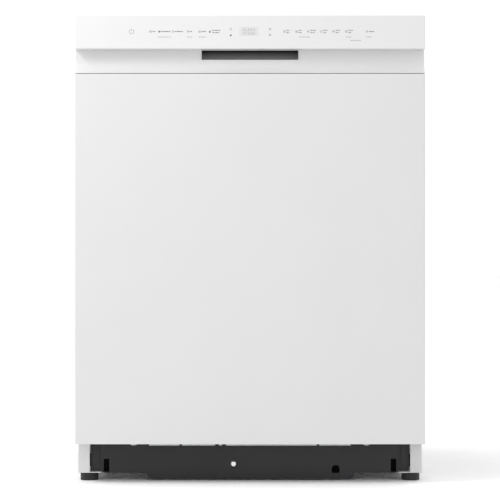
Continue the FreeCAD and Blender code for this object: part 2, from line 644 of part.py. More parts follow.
def make_toe_cover():
    w, m = toe_half, toe_mid
    side_low, mid_low, high = 13.0, 2.5, door_bottom + 14.0
    step_low = 9.0
    face = [(-w, high), (-w, side_low + 2), (-w + 8, side_low), (-m - 4, side_low), (-m - 2.5, step_low),
            (-m, mid_low), (m, mid_low), (m + 4, step_low), (m + 6, side_low), (w - 8, side_low),
            (w, side_low + 2), (w, high), (m, high), (m, toe_top_middle), (-m, toe_top_middle), (-m, high)]
    plate = slab_y(face, toe_y, toe_y + toe_wall)
    notch_z = toe_top_middle + 10
    notches = [rod(Vector(s * (w - 55.5), toe_y - 1, notch_z), Vector(s * (w - 55.5), toe_y + 9, notch_z), 10)
               for s in SIDES]
    slots = [box(s * (w - 13), s * (w - 3), toe_y - 1, toe_y + toe_wall - 0.8, 15, 38) for s in SIDES]
    wings = []
    for s in SIDES:
        edge = base_half - rail_face - 1.5
        wings += [box(s * (w - 2), s * edge, toe_y + 1.5, toe_y + toe_wall, rail_bottom + 3, high),
                  box(s * (w + 5), s * (w + 7), toe_y, toe_y + 2, rail_bottom + 3, high)]
    arch_slot = fuse([box(m - 34, m - 20, toe_y - 1, toe_y + toe_wall + 1, 13, 20),
                      rod(Vector(m - 27, toe_y - 1, 20), Vector(m - 27, toe_y + toe_wall + 1, 20), 7)])
    head = rod(Vector(rod_x, toe_y - 1, rod_z), Vector(rod_x, toe_y + 9, rod_z), 6)
    marks = []
    for x0, x1, z0, z1 in ((-2.6, 11, 25, 39), (-71, -57, 14, 26)):
        marks.append(cut(box(x0, x1, toe_y - 0.6, toe_y, z0, z1),
                         box(x0 + 1.2, x1 - 1.2, toe_y - 1, toe_y + 1, z0 + 1.2, z1 - 1.2)))
    ribs = []
    for i in range(9):
        x = -w + 25 + i * (2 * w - 50) / 8
        if abs(x - rod_x) > 12:
            ribs.append(box(x - 1, x + 1, toe_y + toe_wall, toe_y + toe_wall + 0.9, 20, 58))
    cup = ring(Vector(rod_x, toe_y, rod_z), Vector(rod_x, toe_y + 8, rod_z), 8, 6)
    whole = fuse([plate, cup] + ribs + marks + wings)
    save("toe_cover", cut(whole, head, arch_slot, *(notches + slots)))
    clips = []
    for x, wide in ((-122.0, 4.0), (-58.0, 6.5), (-46.0, 6.5), (120.0, 4.0)):
        clips.append(box(x - wide / 2, x + wide / 2, toe_y, toe_y + toe_wall + 1, toe_top_middle,
                         toe_top_middle + 5.5))
    save("toe_cover_clips", *clips)


def make_hinge_brackets():
    """Steel ears on the base rails, each with the pin that its door lever turns on."""
    def bracket(s):
        ear = box(s * bracket_x0, s * bracket_x1, hinge_y - 2, toe_y + 20, hinge_height - 10,
                  hinge_height + 6)
        round_end = rod(Vector(s * bracket_x0, hinge_y - 2, hinge_height - 2),
                        Vector(s * bracket_x1, hinge_y - 2, hinge_height - 2), 8)
        block = box(s * bracket_x1, s * (base_half - rail_sheet), toe_y + 4, toe_y + 18,
                    hinge_height - 8, hinge_height + 4)
        pin = rod(Vector(s * (arm_x0 + 0.2), hinge_y, hinge_height),
                  Vector(s * bracket_x0, hinge_y, hinge_height), hinge_pin_r)
        collar = rod(Vector(s * (arm_x1 + 0.3), hinge_y, hinge_height),
                     Vector(s * bracket_x0, hinge_y, hinge_height), 7)
        return fuse([ear, round_end, block, pin, collar])
    save("hinge_brackets", bracket(-1), bracket(1))


def helix(centre, r, pitch, length, wire):
    """Spring coil along +Y from a centre point."""
    path = Part.makeHelix(pitch, length, r)
    section = Part.Wire(Part.makeCircle(wire, Vector(r, 0, 0), Vector(0, 1, 0)))
    coil = Part.Wire(path).makePipeShell([section], True, True)
    coil.rotate(Vector(0, 0, 0), X, -90)
    coil.translate(centre)
    return coil


def make_door_balance():
    """Cord from each door tail over a pulley to a tension spring in the base rail."""
    pulleys, hooks, cords, springs = [], [], [], []
    for s in SIDES:
        x = s * cord_x
        wheel = rod(Vector(x - 3, pulley_y, pulley_z), Vector(x + 3, pulley_y, pulley_z), pulley_r + 1.5)
        groove = ring(Vector(x - 1.5, pulley_y, pulley_z), Vector(x + 1.5, pulley_y, pulley_z),
                      pulley_r + 3, pulley_r - cord_r - 0.1)
        bore = rod(Vector(x - 5, pulley_y, pulley_z), Vector(x + 5, pulley_y, pulley_z),
                   2.5 + running_gap)
        pulleys.append(cut(wheel, groove, bore))
        hooks.append(fuse([box(s * (cord_x - 4), s * (spring_x + 4), hook_y, hook_y + 8,
                               spring_z - 4, spring_z + 4),
                           rod(Vector(s * spring_x, hook_y + 8, spring_z),
                               Vector(s * spring_x, spring_start, spring_z), spring_wire)]))
        up = Vector(x, tail_y, tail_z - lever_eye - 0.3)
        down = Vector(x, pulley_y - pulley_r, pulley_z)
        low = Vector(x, pulley_y, pulley_z - pulley_r)
        via = Vector(x, pulley_y - pulley_r * math.sqrt(0.5), pulley_z - pulley_r * math.sqrt(0.5))
        end = Vector(x, hook_y, spring_z)
        bend = Part.Wire([Part.Arc(down, via, low).toShape()])
        arc = bend.makePipeShell([Part.Wire(Part.makeCircle(cord_r, down, Z))], True, True)
        cords.append(fuse([rod(up, down, cord_r), Part.makeSphere(cord_r, down), arc,
                           rod(low, end, cord_r)]))
        coil_r = spring_r - spring_wire
        coil = helix(Vector(s * spring_x, spring_start, spring_z), coil_r, spring_pitch,
                     spring_length, spring_wire)
        tail_bar = rod(Vector(s * spring_x, spring_start + spring_length, spring_z),
                       Vector(s * spring_x, spring_anchor + 6, spring_z), spring_wire)
        springs += [coil, tail_bar]
    save("cord_pulleys", *pulleys)
    save("spring_hooks", *hooks)
    save("spring_cords", *cords)
    save("door_springs", *springs)


def make_feet():
    for s, name in ((-1, "foot_front_left"), (1, "foot_front_right")):
        puck = outline(*[Vector(s * foot_x + foot_r * math.cos(i * math.pi / 6),
                                foot_y + foot_r * math.sin(i * math.pi / 6), 0) for i in range(12)])
        puck = puck.extrude(Z * foot_puck)
        stem = rod(Vector(s * foot_x, foot_y, foot_puck), Vector(s * foot_x, foot_y, 46), spindle_r)
        save(name, fuse([puck, stem]))
    gear_r = abs(rod_x) - worm_r - mesh_gap
    puck = rod(Vector(0, rear_foot_y, 0), Vector(0, rear_foot_y, foot_puck), rear_foot_r)
    stem = rod(Vector(0, rear_foot_y, foot_puck), Vector(0, rear_foot_y, rod_z + 12), rear_spindle_r)
    gear = rod(Vector(0, rear_foot_y, rod_z - 4.5), Vector(0, rear_foot_y, rod_z + 4.5), gear_r)
    teeth = 24
    for i in range(teeth):
        angle = 2 * math.pi * (i + 0.5) / teeth
        at = Vector(gear_r * math.cos(angle), rear_foot_y + gear_r * math.sin(angle), rod_z - 5)
        gear = gear.cut(rod(at, at + Z * 10, 1.3))
    save("foot_rear", fuse([puck, stem, gear]))
    shaft = rod(Vector(rod_x, toe_y + 2, rod_z), Vector(rod_x, rear_foot_y + 24, rod_z), rod_r)
    worm = rod(Vector(rod_x, rear_foot_y - 14, rod_z), Vector(rod_x, rear_foot_y + 14, rod_z), worm_r)
    socket = rod(Vector(rod_x, toe_y + 1, rod_z), Vector(rod_x, toe_y + 5, rod_z), 1.8)
    save("rear_foot_rod", cut(fuse([shaft, worm]), socket))


# ---------------------------------------------------------------- water side
def make_sump():
    h, y0, y1, z0 = sump_half, sump_front, sump_back, sump_bottom
    top = dish - tub_sheet
    body = rounded_box(-h, h, y0, y1, z0, top, 20, Z)
    flange = rounded_box(-h - sump_flange, h + sump_flange, y0 - sump_flange, y1 + sump_flange,
                         top - 4, top, 26, Z)
    room = rounded_box(-h + 3, h - 3, y0 + 3, y1 - 3, z0 + 3, top - 4, 17, Z)
    opening = box(-h + 6, h - 6, centre_y + 49, y1 - 6, top - 5, top + 1)
    hub = rod(Vector(0, centre_y, top), Vector(0, centre_y, arm_low + arm_thick - 3), hub_r)
    intake = rod(Vector(h - 4, pump_y, pump_z), Vector(h + 1, pump_y, pump_z), 12)
    save("sump", cut(fuse([cut(fuse([body, flange]), room), hub]), opening, intake))
    plate = rounded_box(-h + 4, h - 4, centre_y + 47, y1 - 4, top, top + 1.5, 12, Z)
    hole = rod(Vector(0, filter_y, top - 1), Vector(0, filter_y, top + 3), filter_r + 1)
    perforations = []
    for side in SIDES:
        for i in range(3):
            for j in range(5):
                x = side * (filter_r + 12 + 9 * i)
                at = Vector(x, filter_y - 32 + 14 * j, top - 1)
                perforations.append(rod(at, at + Z * 4, 2.5))
    save("filter_screen", cut(plate, hole, *perforations))
    low = z0 + 12
    rim = rod(Vector(0, filter_y, top + 1.6), Vector(0, filter_y, top + 4.5), filter_r + 7)
    wall = ring(Vector(0, filter_y, low), Vector(0, filter_y, top + 1.6), filter_r, filter_r - 2)
    end = rod(Vector(0, filter_y, low), Vector(0, filter_y, low + 2), filter_r)
    grip = box(-filter_r + 2, filter_r - 2, filter_y - 3, filter_y + 3, top + 4.5, top + 14)
    save("filter_cylinder", fuse([rim, wall, end, grip]))


def make_pumps():
    x = sump_half
    volute = rod(Vector(x, pump_y, pump_z), Vector(x + 26, pump_y, pump_z), pump_r)
    motor = rod(Vector(x + 26, pump_y, pump_z), Vector(x + 118, pump_y, pump_z), pump_r - 5)
    cap = rod(Vector(x + 118, pump_y, pump_z), Vector(x + 126, pump_y, pump_z), pump_r - 12)
    room = rod(Vector(x + 4, pump_y, pump_z), Vector(x + 22, pump_y, pump_z), pump_r - 5)
    intake = rod(Vector(x - 1, pump_y, pump_z), Vector(x + 5, pump_y, pump_z), 12)
    bore = rod(Vector(x + 22, pump_y, pump_z), Vector(x + 40, pump_y, pump_z), 3 + running_gap)
    fins = [box(x + 34 + 12 * i, x + 37 + 12 * i, pump_y - pump_r + 4, pump_y + pump_r - 4,
                pump_z - 8, pump_z + 8) for i in range(6)]
    save("circulation_pump", cut(fuse([volute, motor, cap] + fins), room, intake, bore))
    disc = rod(Vector(x + 15, pump_y, pump_z), Vector(x + 18, pump_y, pump_z), pump_r - 7)
    shaft = rod(Vector(x + 18, pump_y, pump_z), Vector(x + 38, pump_y, pump_z), 3)
    vanes = []
    for i in range(6):
        vane = box(x + 7, x + 15, pump_y + 6, pump_y + pump_r - 8, pump_z - 1.2, pump_z + 1.2)
        vane.rotate(Vector(0, pump_y, pump_z), X, 60 * i)
        vanes.append(vane)
    boss = rod(Vector(x + 8, pump_y, pump_z), Vector(x + 15, pump_y, pump_z), 7)
    save("pump_impeller", fuse([disc, shaft, boss] + vanes))
    dy, dz = centre_y, 64.0
    volute = rod(Vector(-x, dy, dz), Vector(-x - drain_volute, dy, dz), 20)
    motor = rod(Vector(-x - drain_volute, dy, dz), Vector(-x - drain_volute - 52, dy, dz), 16)
    spigot = rod(Vector(spigot_x, dy, dz), Vector(spigot_x, spigot_end, dz), spigot_r)
    collar = rod(Vector(spigot_x, dy, dz), Vector(spigot_x, spigot_start, dz), spigot_r + 3)
    bore = rod(Vector(spigot_x, dy + 12, dz), Vector(spigot_x, spigot_end + 1, dz), spigot_r - 2.5)
    save("drain_pump", cut(fuse([volute, motor, spigot, collar]), bore))


def make_electrics_and_valve():
    y0 = toe_y + toe_wall + 1.0 + rail_sheet
    vx = -base_half + 82.0
    body = rounded_box(vx - 20, vx + 20, y0, y0 + 44, 48, door_bottom + 18, 4, Z)
    coil = rod(Vector(vx, y0 + 44, 70), Vector(vx, y0 + 66, 70), 13)
    inlet = ring(Vector(vx, y0 + 22, 22), Vector(vx, y0 + 22, 48), inlet_r, 9)
    neck = rod(Vector(vx, y0 + 22, 44), Vector(vx, y0 + 22, 50), inlet_r - 2)
    save("inlet_valve", fuse([cut(body, box(vx - 21, vx + 21, y0 - 1, y0 + 18, 0, door_bottom - 8)),
                              coil, inlet, neck]))
    jx, t = base_half - 88.0, 1.5
    high = door_bottom - 10
    outer = box(jx - 40, jx + 40, y0 - rail_sheet, y0 + 50, 32, high)
    room = box(jx - 40 + t, jx + 40 - t, y0 - rail_sheet + t, y0 + 50 - t, 32 + t, high - t)
    entry = rod(Vector(jx, y0 + 45, 46), Vector(jx, y0 + 55, 46), conduit_r)
    save("junction_box", cut(outer, room, entry))


def make_float():
    at = Vector(float_x, float_y, dish)
    dome = rod(at + Z * 0.3, at + Z * 17, float_r)
    dome = dome.makeFillet(5.0, [e for e in dome.Edges if e.BoundBox.ZMin > dish + 16])
    stem = rod(at - Z * 16, at + Z * 2, float_stem_r)
    save("float", fuse([dome, stem]))


def make_feed_pipe():
    low = dish + feed_r + 0.2
    a = Vector(0, sump_back + 4, low)
    b = Vector(0, feed_y, low)
    c = Vector(0, feed_y, feed_top)
    d = Vector(0, centre_y, feed_top)
    drop = rod(a, a - Z * (feed_r + 0.2), feed_r)
    dock = rod(Vector(0, feed_y, upper_z - 9), Vector(0, rack_back + 2, upper_z - 9), feed_r - 1)
    stub = rod(d, d - Z * 26, stub_r)
    flare = rod(d - Z * 26, d - Z * 28, stub_r + 3)
    parts = [rod(a, b, feed_r), rod(b, c, feed_r), rod(c, d, feed_r), drop, dock, stub, flare]
    balls = [Part.makeSphere(feed_r, p) for p in (a, b, c, d)]
    save("feed_pipe", fuse(parts + balls))


def spray_arm(z0, reach, bore_r, hub, lean):
    """Two tapering wings on a hub, with nozzles along the top of each wing."""
    thick = arm_thick
    z1 = z0 + thick
    wings = []
    for s in SIDES:
        wings.append(slab_z([(0, centre_y - 22), (s * reach * 0.55, centre_y - 20 + s * lean),
                             (s * (reach - 4), centre_y - 11 + s * lean),
                             (s * reach, centre_y + s * lean),
                             (s * (reach - 4), centre_y + 11 + s * lean),
                             (s * reach * 0.55, centre_y + 20 + s * lean), (0, centre_y + 22)],
                            z0 + 2, z1 - 1))
    nozzles = []
    for s in SIDES:
        for i in range(4):
            at = Vector(s * (reach - 18 - 42 * i), centre_y + s * lean * 0.8 + (-1) ** i * 6, z1 - 1)
            nozzles.append(rod(at, at + Z * 2, 4.5))
    hub_body = rod(Vector(0, centre_y, z0), Vector(0, centre_y, z1), hub)
    bore = rod(Vector(0, centre_y, z0 - 1), Vector(0, centre_y, z1 + 3), bore_r)
    return cut(fuse(wings + nozzles + [hub_body]), bore)


def make_spray_arms():
    save("lower_spray_arm", spray_arm(arm_low, arm_r, hub_r + running_gap, 26, 10))
    save("middle_spray_arm", spray_arm(upper_z - 28, arm_r - 8, stub_r + running_gap, 22, 8))
    save("top_spray_arm", spray_arm(feed_top - 23, arm_r - 90, stub_r + running_gap, 20, 5))


# ---------------------------------------------------------------- racks
def rack_frame(half_width, y0, y1, heights):
    """Rings of heavy wire, one per height."""
    r = frame_wire_r
    bars = []
    for z in heights:
        for y in (y0 + r, y1 - r):
            bars.append(rod(Vector(-half_width, y, z), Vector(half_width, y, z), r))
        for s in SIDES:
            x = s * (half_width - r)
            bars.append(rod(Vector(x, y0 + 2 * r, z), Vector(x, y1 - 2 * r, z), r))
    return bars


def spread(start, end, count):
    return [start + (end - start) * i / (count - 1) for i in range(count)]


def rack_sides(half_width, y0, y1, low, high, along_x, along_y):
    """Upright wires inside the rings."""
    inset = 2 * frame_wire_r + wire_r
    wires = []
    for y in spread(y0 + 30, y1 - 30, along_y):
        for s in SIDES:
            x = s * (half_width - inset)
            wires.append(rod(Vector(x, y, low), Vector(x, y, high), wire_r))
    for x in spread(-half_width + 35, half_width - 35, along_x):
        for y in (y0 + inset, y1 - inset):
            wires.append(rod(Vector(x, y, low), Vector(x, y, high), wire_r))
    return wires


def rack_bottom(half_width, y0, y1, z, along_x, along_y):
    """Long wires on the lowest ring and cross wires on them."""
    long_z = z + frame_wire_r + wire_r
    cross_z = long_z + 2 * wire_r
    inset = 2 * frame_wire_r + 2 * wire_r
    wires = [rod(Vector(x, y0 + 1, long_z), Vector(x, y1 - 1, long_z), wire_r)
             for x in spread(-half_width + 48, half_width - 48, along_x)]
    wires += [rod(Vector(-half_width + inset + 0.3, y, cross_z), Vector(half_width - inset - 0.3, y, cross_z),
                  wire_r) for y in spread(y0 + 46, y1 - 46, along_y)]
    return wires


tine_count = 8
cross_count = 8
rack_floor = lower_z + frame_wire_r + 4 * wire_r    # top of the lower rack's cross wires
fold_x = -60.0
fold_z = rack_floor + 2.5 + 0.4
fold_r = 2.5
wheel_y = (centre_y - 167.0, centre_y + 133.0)
wheel_z = ledge + wheel_r
basket_x0, basket_x1 = rack_half - 97.0, rack_half - 12.0
basket_y0, basket_y1 = rack_front + 40.0, rack_front + 290.0
basket_top = rack_floor + 126.0
roller_y = (centre_y + 3.0, centre_y + 183.0)


def make_lower_rack():
    h, y0, y1 = rack_half + frame_wire_r, rack_front, rack_back
    mid = (lower_z + lower_rim) / 2
    wires = rack_frame(h, y0, y1, (lower_z, mid, lower_rim))
    wires += rack_sides(h, y0, y1, lower_z, lower_rim, 9, 8)
    wires += rack_bottom(h, y0, y1, lower_z, 8, cross_count)
    for y in spread(y0 + 46, y1 - 46, cross_count):
        for x in (fold_x - 130, fold_x - 88, fold_x - 46, fold_x + 100, fold_x + 145):
            wires.append(rod(Vector(x, y, rack_floor), Vector(x, y, rack_floor + tine_height), wire_r))
    for y in (y0 + 58, y1 - 66):
        clip = box(fold_x - 6, fold_x + 6, y, y + 8, rack_floor - 2 * wire_r, fold_z + 5)
        wires.append(cut(clip, rod(Vector(fold_x, y - 1, fold_z), Vector(fold_x, y + 9, fold_z),
                                   fold_r + running_gap)))
    for s in SIDES:
        for y in wheel_y:
            plate = box(s * h, s * (h + 3), y - 13, y + 13, wheel_z - 6, lower_z + 12)
            axle = rod(Vector(s * h, y, wheel_z), Vector(s * (h + 17), y, wheel_z), wheel_axle_r)
            wires.append(fuse([plate, axle]))
    save("lower_rack", *wires)
    for y, name in zip(wheel_y, ("lower_rack_front_wheels", "lower_rack_rear_wheels")):
        wheels = []
        for s in SIDES:
            a, b = Vector(s * (h + 3.6), y, wheel_z), Vector(s * (h + 16), y, wheel_z)
            wheel = ring(a, b, wheel_r, wheel_axle_r + running_gap)
            dent = ring(b - X * (s * 2), b + X * s, wheel_r - 4, wheel_axle_r + 3)
            wheels.append(cut(wheel, dent))
        save(name, *wheels)


def make_fold_tines():
    y0, y1 = rack_front + 60, rack_back - 60
    base = rod(Vector(fold_x, y0, fold_z), Vector(fold_x, y1, fold_z), fold_r)
    tines = [rod(Vector(fold_x, y, fold_z), Vector(fold_x, y, fold_z + tine_height), wire_r)
             for y in spread(rack_front + 78, rack_back - 78, tine_count)]
    save("fold_tines", fuse([base] + tines))


def make_basket():
    x0, x1, y0, y1 = basket_x0, basket_x1, basket_y0, basket_y1
    z0, z1, t = rack_floor + 0.2, basket_top, 2.0
    shell = box(x0, x1, y0, y1, z0, z1)
    cells = 3
    pitch = (y1 - y0 - t) / cells
    rooms = [box(x0 + t, x1 - t, y0 + t + i * pitch, y0 + (i + 1) * pitch, z0 + t, z1 + 1)
             for i in range(cells)]
    middle = (y0 + y1) / 2
    mid_x = (x0 + x1) / 2
    handle = fuse([box(mid_x - 5, mid_x + 5, y0, y0 + 3, z1 - 20, z1 + 14),
                   box(mid_x - 5, mid_x + 5, y1 - 3, y1, z1 - 20, z1 + 14),
                   box(mid_x - 5, mid_x + 5, y0, y1, z1 + 11, z1 + 14)])
    lattice = []
    for i in range(cells):
        for j in range(5):
            y = y0 + t + (i + 0.5) * pitch + (j - 2) * 13
            lattice.append(box(x0 - 1, x1 + 1, y - 4.5, y + 4.5, z0 + 12, (z0 + z1) / 2 - 3))
            lattice.append(box(x0 - 1, x1 + 1, y - 4.5, y + 4.5, (z0 + z1) / 2 + 3, z1 - 8))
    save("silverware_basket", fuse([cut(shell, *(rooms + lattice)), handle]))


def make_upper_rack():
    h, y0, y1 = rack_half, rack_front, rack_back
    mid = (upper_z + upper_rim) / 2
    wires = rack_frame(h, y0, y1, (upper_z, mid, upper_rim))
    wires += rack_sides(h, y0, y1, upper_z, upper_rim, 9, 8)
    wires += rack_bottom(h, y0, y1, upper_z, 7, 7)
    floor = upper_z + frame_wire_r + 4 * wire_r
    for y in spread(y0 + 46, y1 - 46, 7):
        for x in (-60, 60):
            wires.append(rod(Vector(x, y, floor), Vector(x, y, floor + 45), wire_r))
    for s in SIDES:
        plate = box(s * h, s * (h + 3), roller_y[0] - 14, roller_y[1] + 14, track_z - 16, track_z + 16)
        axles = [rod(Vector(s * h, y, track_z), Vector(s * (h + 15), y, track_z), roller_axle_r)
                 for y in roller_y]
        wires.append(fuse([plate] + axles))
    feed_z = upper_z - 9
    tube = rod(Vector(0, centre_y, feed_z), Vector(0, rack_back + 1.5, feed_z), feed_r - 1)
    stub = rod(Vector(0, centre_y, feed_z), Vector(0, centre_y, upper_z - 28 - 0.5), stub_r)
    flare = rod(Vector(0, centre_y, upper_z - 30.5), Vector(0, centre_y, upper_z - 28.5), stub_r + 3)
    ball = Part.makeSphere(stub_r, Vector(0, centre_y, feed_z))
    saddle = box(-12, 12, y1 - 40, y1 - 30, feed_z, upper_z + frame_wire_r)
    wires.append(fuse([tube, stub, flare, ball, saddle]))
    for y in shelf_y:
        x = -h + frame_wire_r
        post = rod(Vector(x, y, upper_rim + frame_wire_r), Vector(x, y, shelf_z - 5), wire_r)
        clip = cut(box(x - 4, shelf_x + 6, y - 4, y + 4, shelf_z - 6, shelf_z + 6),
                   rod(Vector(shelf_x, y - 5, shelf_z), Vector(shelf_x, y + 5, shelf_z),
                       fold_r + running_gap))
        wires.append(fuse([post, clip]))
    save("upper_rack", *wires)


shelf_x = -rack_half + 11.0
shelf_z = upper_rim + 28.0
shelf_y = (centre_y - 110.0, centre_y + 110.0)
shelf_reach = 88.0


def make_cup_shelf():
    y0, y1 = shelf_y[0] - 12, shelf_y[1] + 12
    hinge = rod(Vector(shelf_x, y0, shelf_z), Vector(shelf_x, y1, shelf_z), fold_r)
    lip = rod(Vector(shelf_x + shelf_reach, y0, shelf_z), Vector(shelf_x + shelf_reach, y1, shelf_z), fold_r)
    ribs = [rod(Vector(shelf_x, y, shelf_z), Vector(shelf_x + shelf_reach, y, shelf_z), wire_r)
            for y in spread(y0 + 3, y1 - 3, 9) if min(abs(y - p) for p in shelf_y) > 7]
    save("cup_shelf", fuse([hinge, lip] + ribs))


def c_rail(s, x_web, x_open, inner_half, t, y0, y1):
    """Rail with its web at x_web and its two lips towards x_open."""
    block = box(s * x_web, s * x_open, y0, y1, track_z - inner_half - t, track_z + inner_half + t)
    room = box(s * (x_web - t), s * (x_open - 1), y0 - 1, y1 + 1, track_z - inner_half,
               track_z + inner_half)
    return cut(block, room)


def make_tracks():
    t = track_sheet
    h = rack_half
    inner = roller_r + 0.2
    slide_web, slide_open = h + 19, h + 4
    lips = inner + t + 0.4
    fixed = []
    for s in SIDES:
        rail = c_rail(s, tub_half, slide_web - 4, lips, 2.0, mouth + 10, tub_back - 34)
        spacer = box(s * (slide_web + 0.8), s * (tub_half - 1), mouth + 10, tub_back - 34,
                     track_z - lips, track_z + lips)
        fixed.append(fuse([rail, spacer]))
    save("upper_tracks_fixed", *fixed)
    save("upper_tracks_sliding", *[c_rail(s, slide_web, slide_open, inner, t, mouth + 12, tub_back - 44)
                                   for s in SIDES])
    for y, name in zip(roller_y, ("upper_rack_front_rollers", "upper_rack_rear_rollers")):
        rollers = [ring(Vector(s * (h + 4.5), y, track_z), Vector(s * (h + 15), y, track_z), roller_r,
                        roller_axle_r + running_gap) for s in SIDES]
        save(name, *rollers)


# ---------------------------------------------------------------- build everything
os.makedirs("parts", exist_ok=True)
make_outer_door_panel()
make_control_console()
make_handle_pocket()
make_inner_door_panel()
make_door_trim()
make_hinge_arms()
make_latch()
make_dispenser()
make_tub()
make_tub_floor()
make_insulation()
make_air_break()
make_base_side(-1, "base_side_left")
make_base_side(1, "base_side_right")
make_crossmembers()
make_front_frame()
make_toe_cover()
make_hinge_brackets()
make_door_balance()
make_feet()
make_sump()
make_pumps()
make_electrics_and_valve()
make_float()
make_feed_pipe()
make_spray_arms()
make_lower_rack()
make_fold_tines()
make_basket()
make_upper_rack()
make_cup_shelf()
make_tracks()
print(len(os.listdir("parts")), "sub-parts written")
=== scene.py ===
"""Looks of the built-in dishwasher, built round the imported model, in metres."""
import json
import math

import bmesh
import bpy
from mathutils import Matrix, Vector, noise


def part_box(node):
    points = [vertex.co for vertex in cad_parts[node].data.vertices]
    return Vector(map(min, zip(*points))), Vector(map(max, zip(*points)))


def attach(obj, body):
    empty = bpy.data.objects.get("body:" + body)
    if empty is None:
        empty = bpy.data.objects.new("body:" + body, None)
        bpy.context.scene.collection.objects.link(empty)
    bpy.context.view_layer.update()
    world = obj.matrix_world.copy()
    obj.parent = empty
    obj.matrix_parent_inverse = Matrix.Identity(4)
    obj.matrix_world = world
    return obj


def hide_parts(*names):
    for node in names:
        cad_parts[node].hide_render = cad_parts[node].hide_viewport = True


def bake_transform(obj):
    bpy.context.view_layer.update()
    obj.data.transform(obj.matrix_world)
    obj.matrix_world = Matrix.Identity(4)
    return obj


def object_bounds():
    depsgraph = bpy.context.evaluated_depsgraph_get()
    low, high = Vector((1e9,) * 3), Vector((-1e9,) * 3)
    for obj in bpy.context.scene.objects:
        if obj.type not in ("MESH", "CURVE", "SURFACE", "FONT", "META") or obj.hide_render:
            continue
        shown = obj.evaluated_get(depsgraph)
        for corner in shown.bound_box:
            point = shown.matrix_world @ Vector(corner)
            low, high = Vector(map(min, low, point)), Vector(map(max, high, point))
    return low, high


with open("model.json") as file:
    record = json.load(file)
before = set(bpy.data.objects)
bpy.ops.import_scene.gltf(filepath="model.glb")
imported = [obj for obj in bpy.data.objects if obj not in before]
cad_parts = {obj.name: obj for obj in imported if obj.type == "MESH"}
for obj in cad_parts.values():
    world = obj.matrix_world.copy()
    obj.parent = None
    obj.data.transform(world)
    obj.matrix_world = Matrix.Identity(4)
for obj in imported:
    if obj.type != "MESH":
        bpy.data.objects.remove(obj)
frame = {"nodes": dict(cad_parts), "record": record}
cad_low, cad_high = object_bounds()
MM = 0.001
X, Z = Vector((1, 0, 0)), Vector((0, 0, 1))
SIDES = (-1, 1)


# ------------------------------------------------------------ places, from the frame
front = cad_low.y
top = cad_high.z
half = cad_high.x
wheel_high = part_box("lower_rack_front_wheels")[1]
lower_low, lower_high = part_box("lower_rack")
upper_low, upper_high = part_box("upper_rack")
roller_low, roller_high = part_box("upper_rack_front_rollers")
tines_low, tines_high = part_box("fold_tines")
shelf_low, shelf_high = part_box("cup_shelf")
blanket_low, blanket_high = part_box("insulation_blanket")
air_low, air_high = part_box("air_break")
gasket_low, gasket_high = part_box("tub_gasket")
seal_low, seal_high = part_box("door_bottom_seal")

FRAME_WIRE = 3.0 * MM       # radius of a rack's hoops
WIRE = 2.0 * MM             # radius of its other wires
END_GAP = 34 * MM           # rack end to its first cross wire
SIDE_GAP = 38 * MM          # rack side to its first long wire
WIRE_BEND = 20 * MM
HOOP_BEND = 24 * MM


# ------------------------------------------------------------ materials
def blend_of(tree, factor, dark, light):
    """Colour between dark and light, by a 0 to 1 value."""
    ramp = tree.nodes.new("ShaderNodeValToRGB")
    ramp.color_ramp.elements[0].position = 0.25
    ramp.color_ramp.elements[1].position = 0.75
    ramp.color_ramp.elements[0].color = (*dark, 1)
    ramp.color_ramp.elements[1].color = (*light, 1)
    tree.links.new(factor, ramp.inputs["Fac"])
    return ramp.outputs["Color"]


def span_of(tree, factor, low, high):
    """Value between low and high, by a 0 to 1 value."""
    scaled = tree.nodes.new("ShaderNodeMapRange")
    scaled.inputs["From Min"].default_value = 0.25
    scaled.inputs["From Max"].default_value = 0.75
    scaled.inputs["To Min"].default_value = low
    scaled.inputs["To Max"].default_value = high
    tree.links.new(factor, scaled.inputs["Value"])
    return scaled.outputs["Result"]


def noise_of(tree, place, scale, detail=3.0, stretch=(1, 1, 1)):
    mapped = tree.nodes.new("ShaderNodeMapping")
    mapped.inputs["Scale"].default_value = stretch
    tree.links.new(place, mapped.inputs["Vector"])
    made = tree.nodes.new("ShaderNodeTexNoise")
    made.inputs["Scale"].default_value = scale
    made.inputs["Detail"].default_value = detail
    tree.links.new(mapped.outputs["Vector"], made.inputs["Vector"])
    return made.outputs["Fac"]


def cells_of(tree, place, scale):
    made = tree.nodes.new("ShaderNodeTexVoronoi")
    made.inputs["Scale"].default_value = scale
    tree.links.new(place, made.inputs["Vector"])
    split = tree.nodes.new("ShaderNodeSeparateColor")
    tree.links.new(made.outputs["Color"], split.inputs["Color"])
    return split.outputs["Red"]


def surface(name, colour, rough, metal=0.0, grain=900.0, strength=0.1, depth=0.05,
            spread=0.03, swing=0.04, stretch=(1, 1, 1), cells=0.0, **sockets):
    """Finish with a fine grain in its face and gloss, and slower changes in its colour.

    depth is in millimetres. cells is the scale of a spangle, as on zinc, which takes the place
    of the slower changes.
    """
    made = bpy.data.materials.new(name)
    made.use_nodes = True
    tree = made.node_tree
    shader = tree.nodes["Principled BSDF"]
    shader.inputs["Metallic"].default_value = metal
    for socket, value in sockets.items():
        shader.inputs[socket.replace("_", " ")].default_value = value
    place = tree.nodes.new("ShaderNodeTexCoord").outputs["Object"]
    fine = noise_of(tree, place, grain, 4.0, stretch)
    slow = cells_of(tree, place, cells) if cells else noise_of(tree, place, 9.0, 2.0)
    dark = [c * (1 - spread) for c in colour]
    light = [min(c * (1 + spread), 1.0) for c in colour]
    tree.links.new(blend_of(tree, slow, dark, light), shader.inputs["Base Color"])
    tree.links.new(span_of(tree, fine, rough - swing, rough + swing), shader.inputs["Roughness"])
    bump = tree.nodes.new("ShaderNodeBump")
    bump.inputs["Strength"].default_value = strength
    bump.inputs["Distance"].default_value = depth * MM
    tree.links.new(fine, bump.inputs["Height"])
    tree.links.new(bump.outputs["Normal"], shader.inputs["Normal"])
    return made


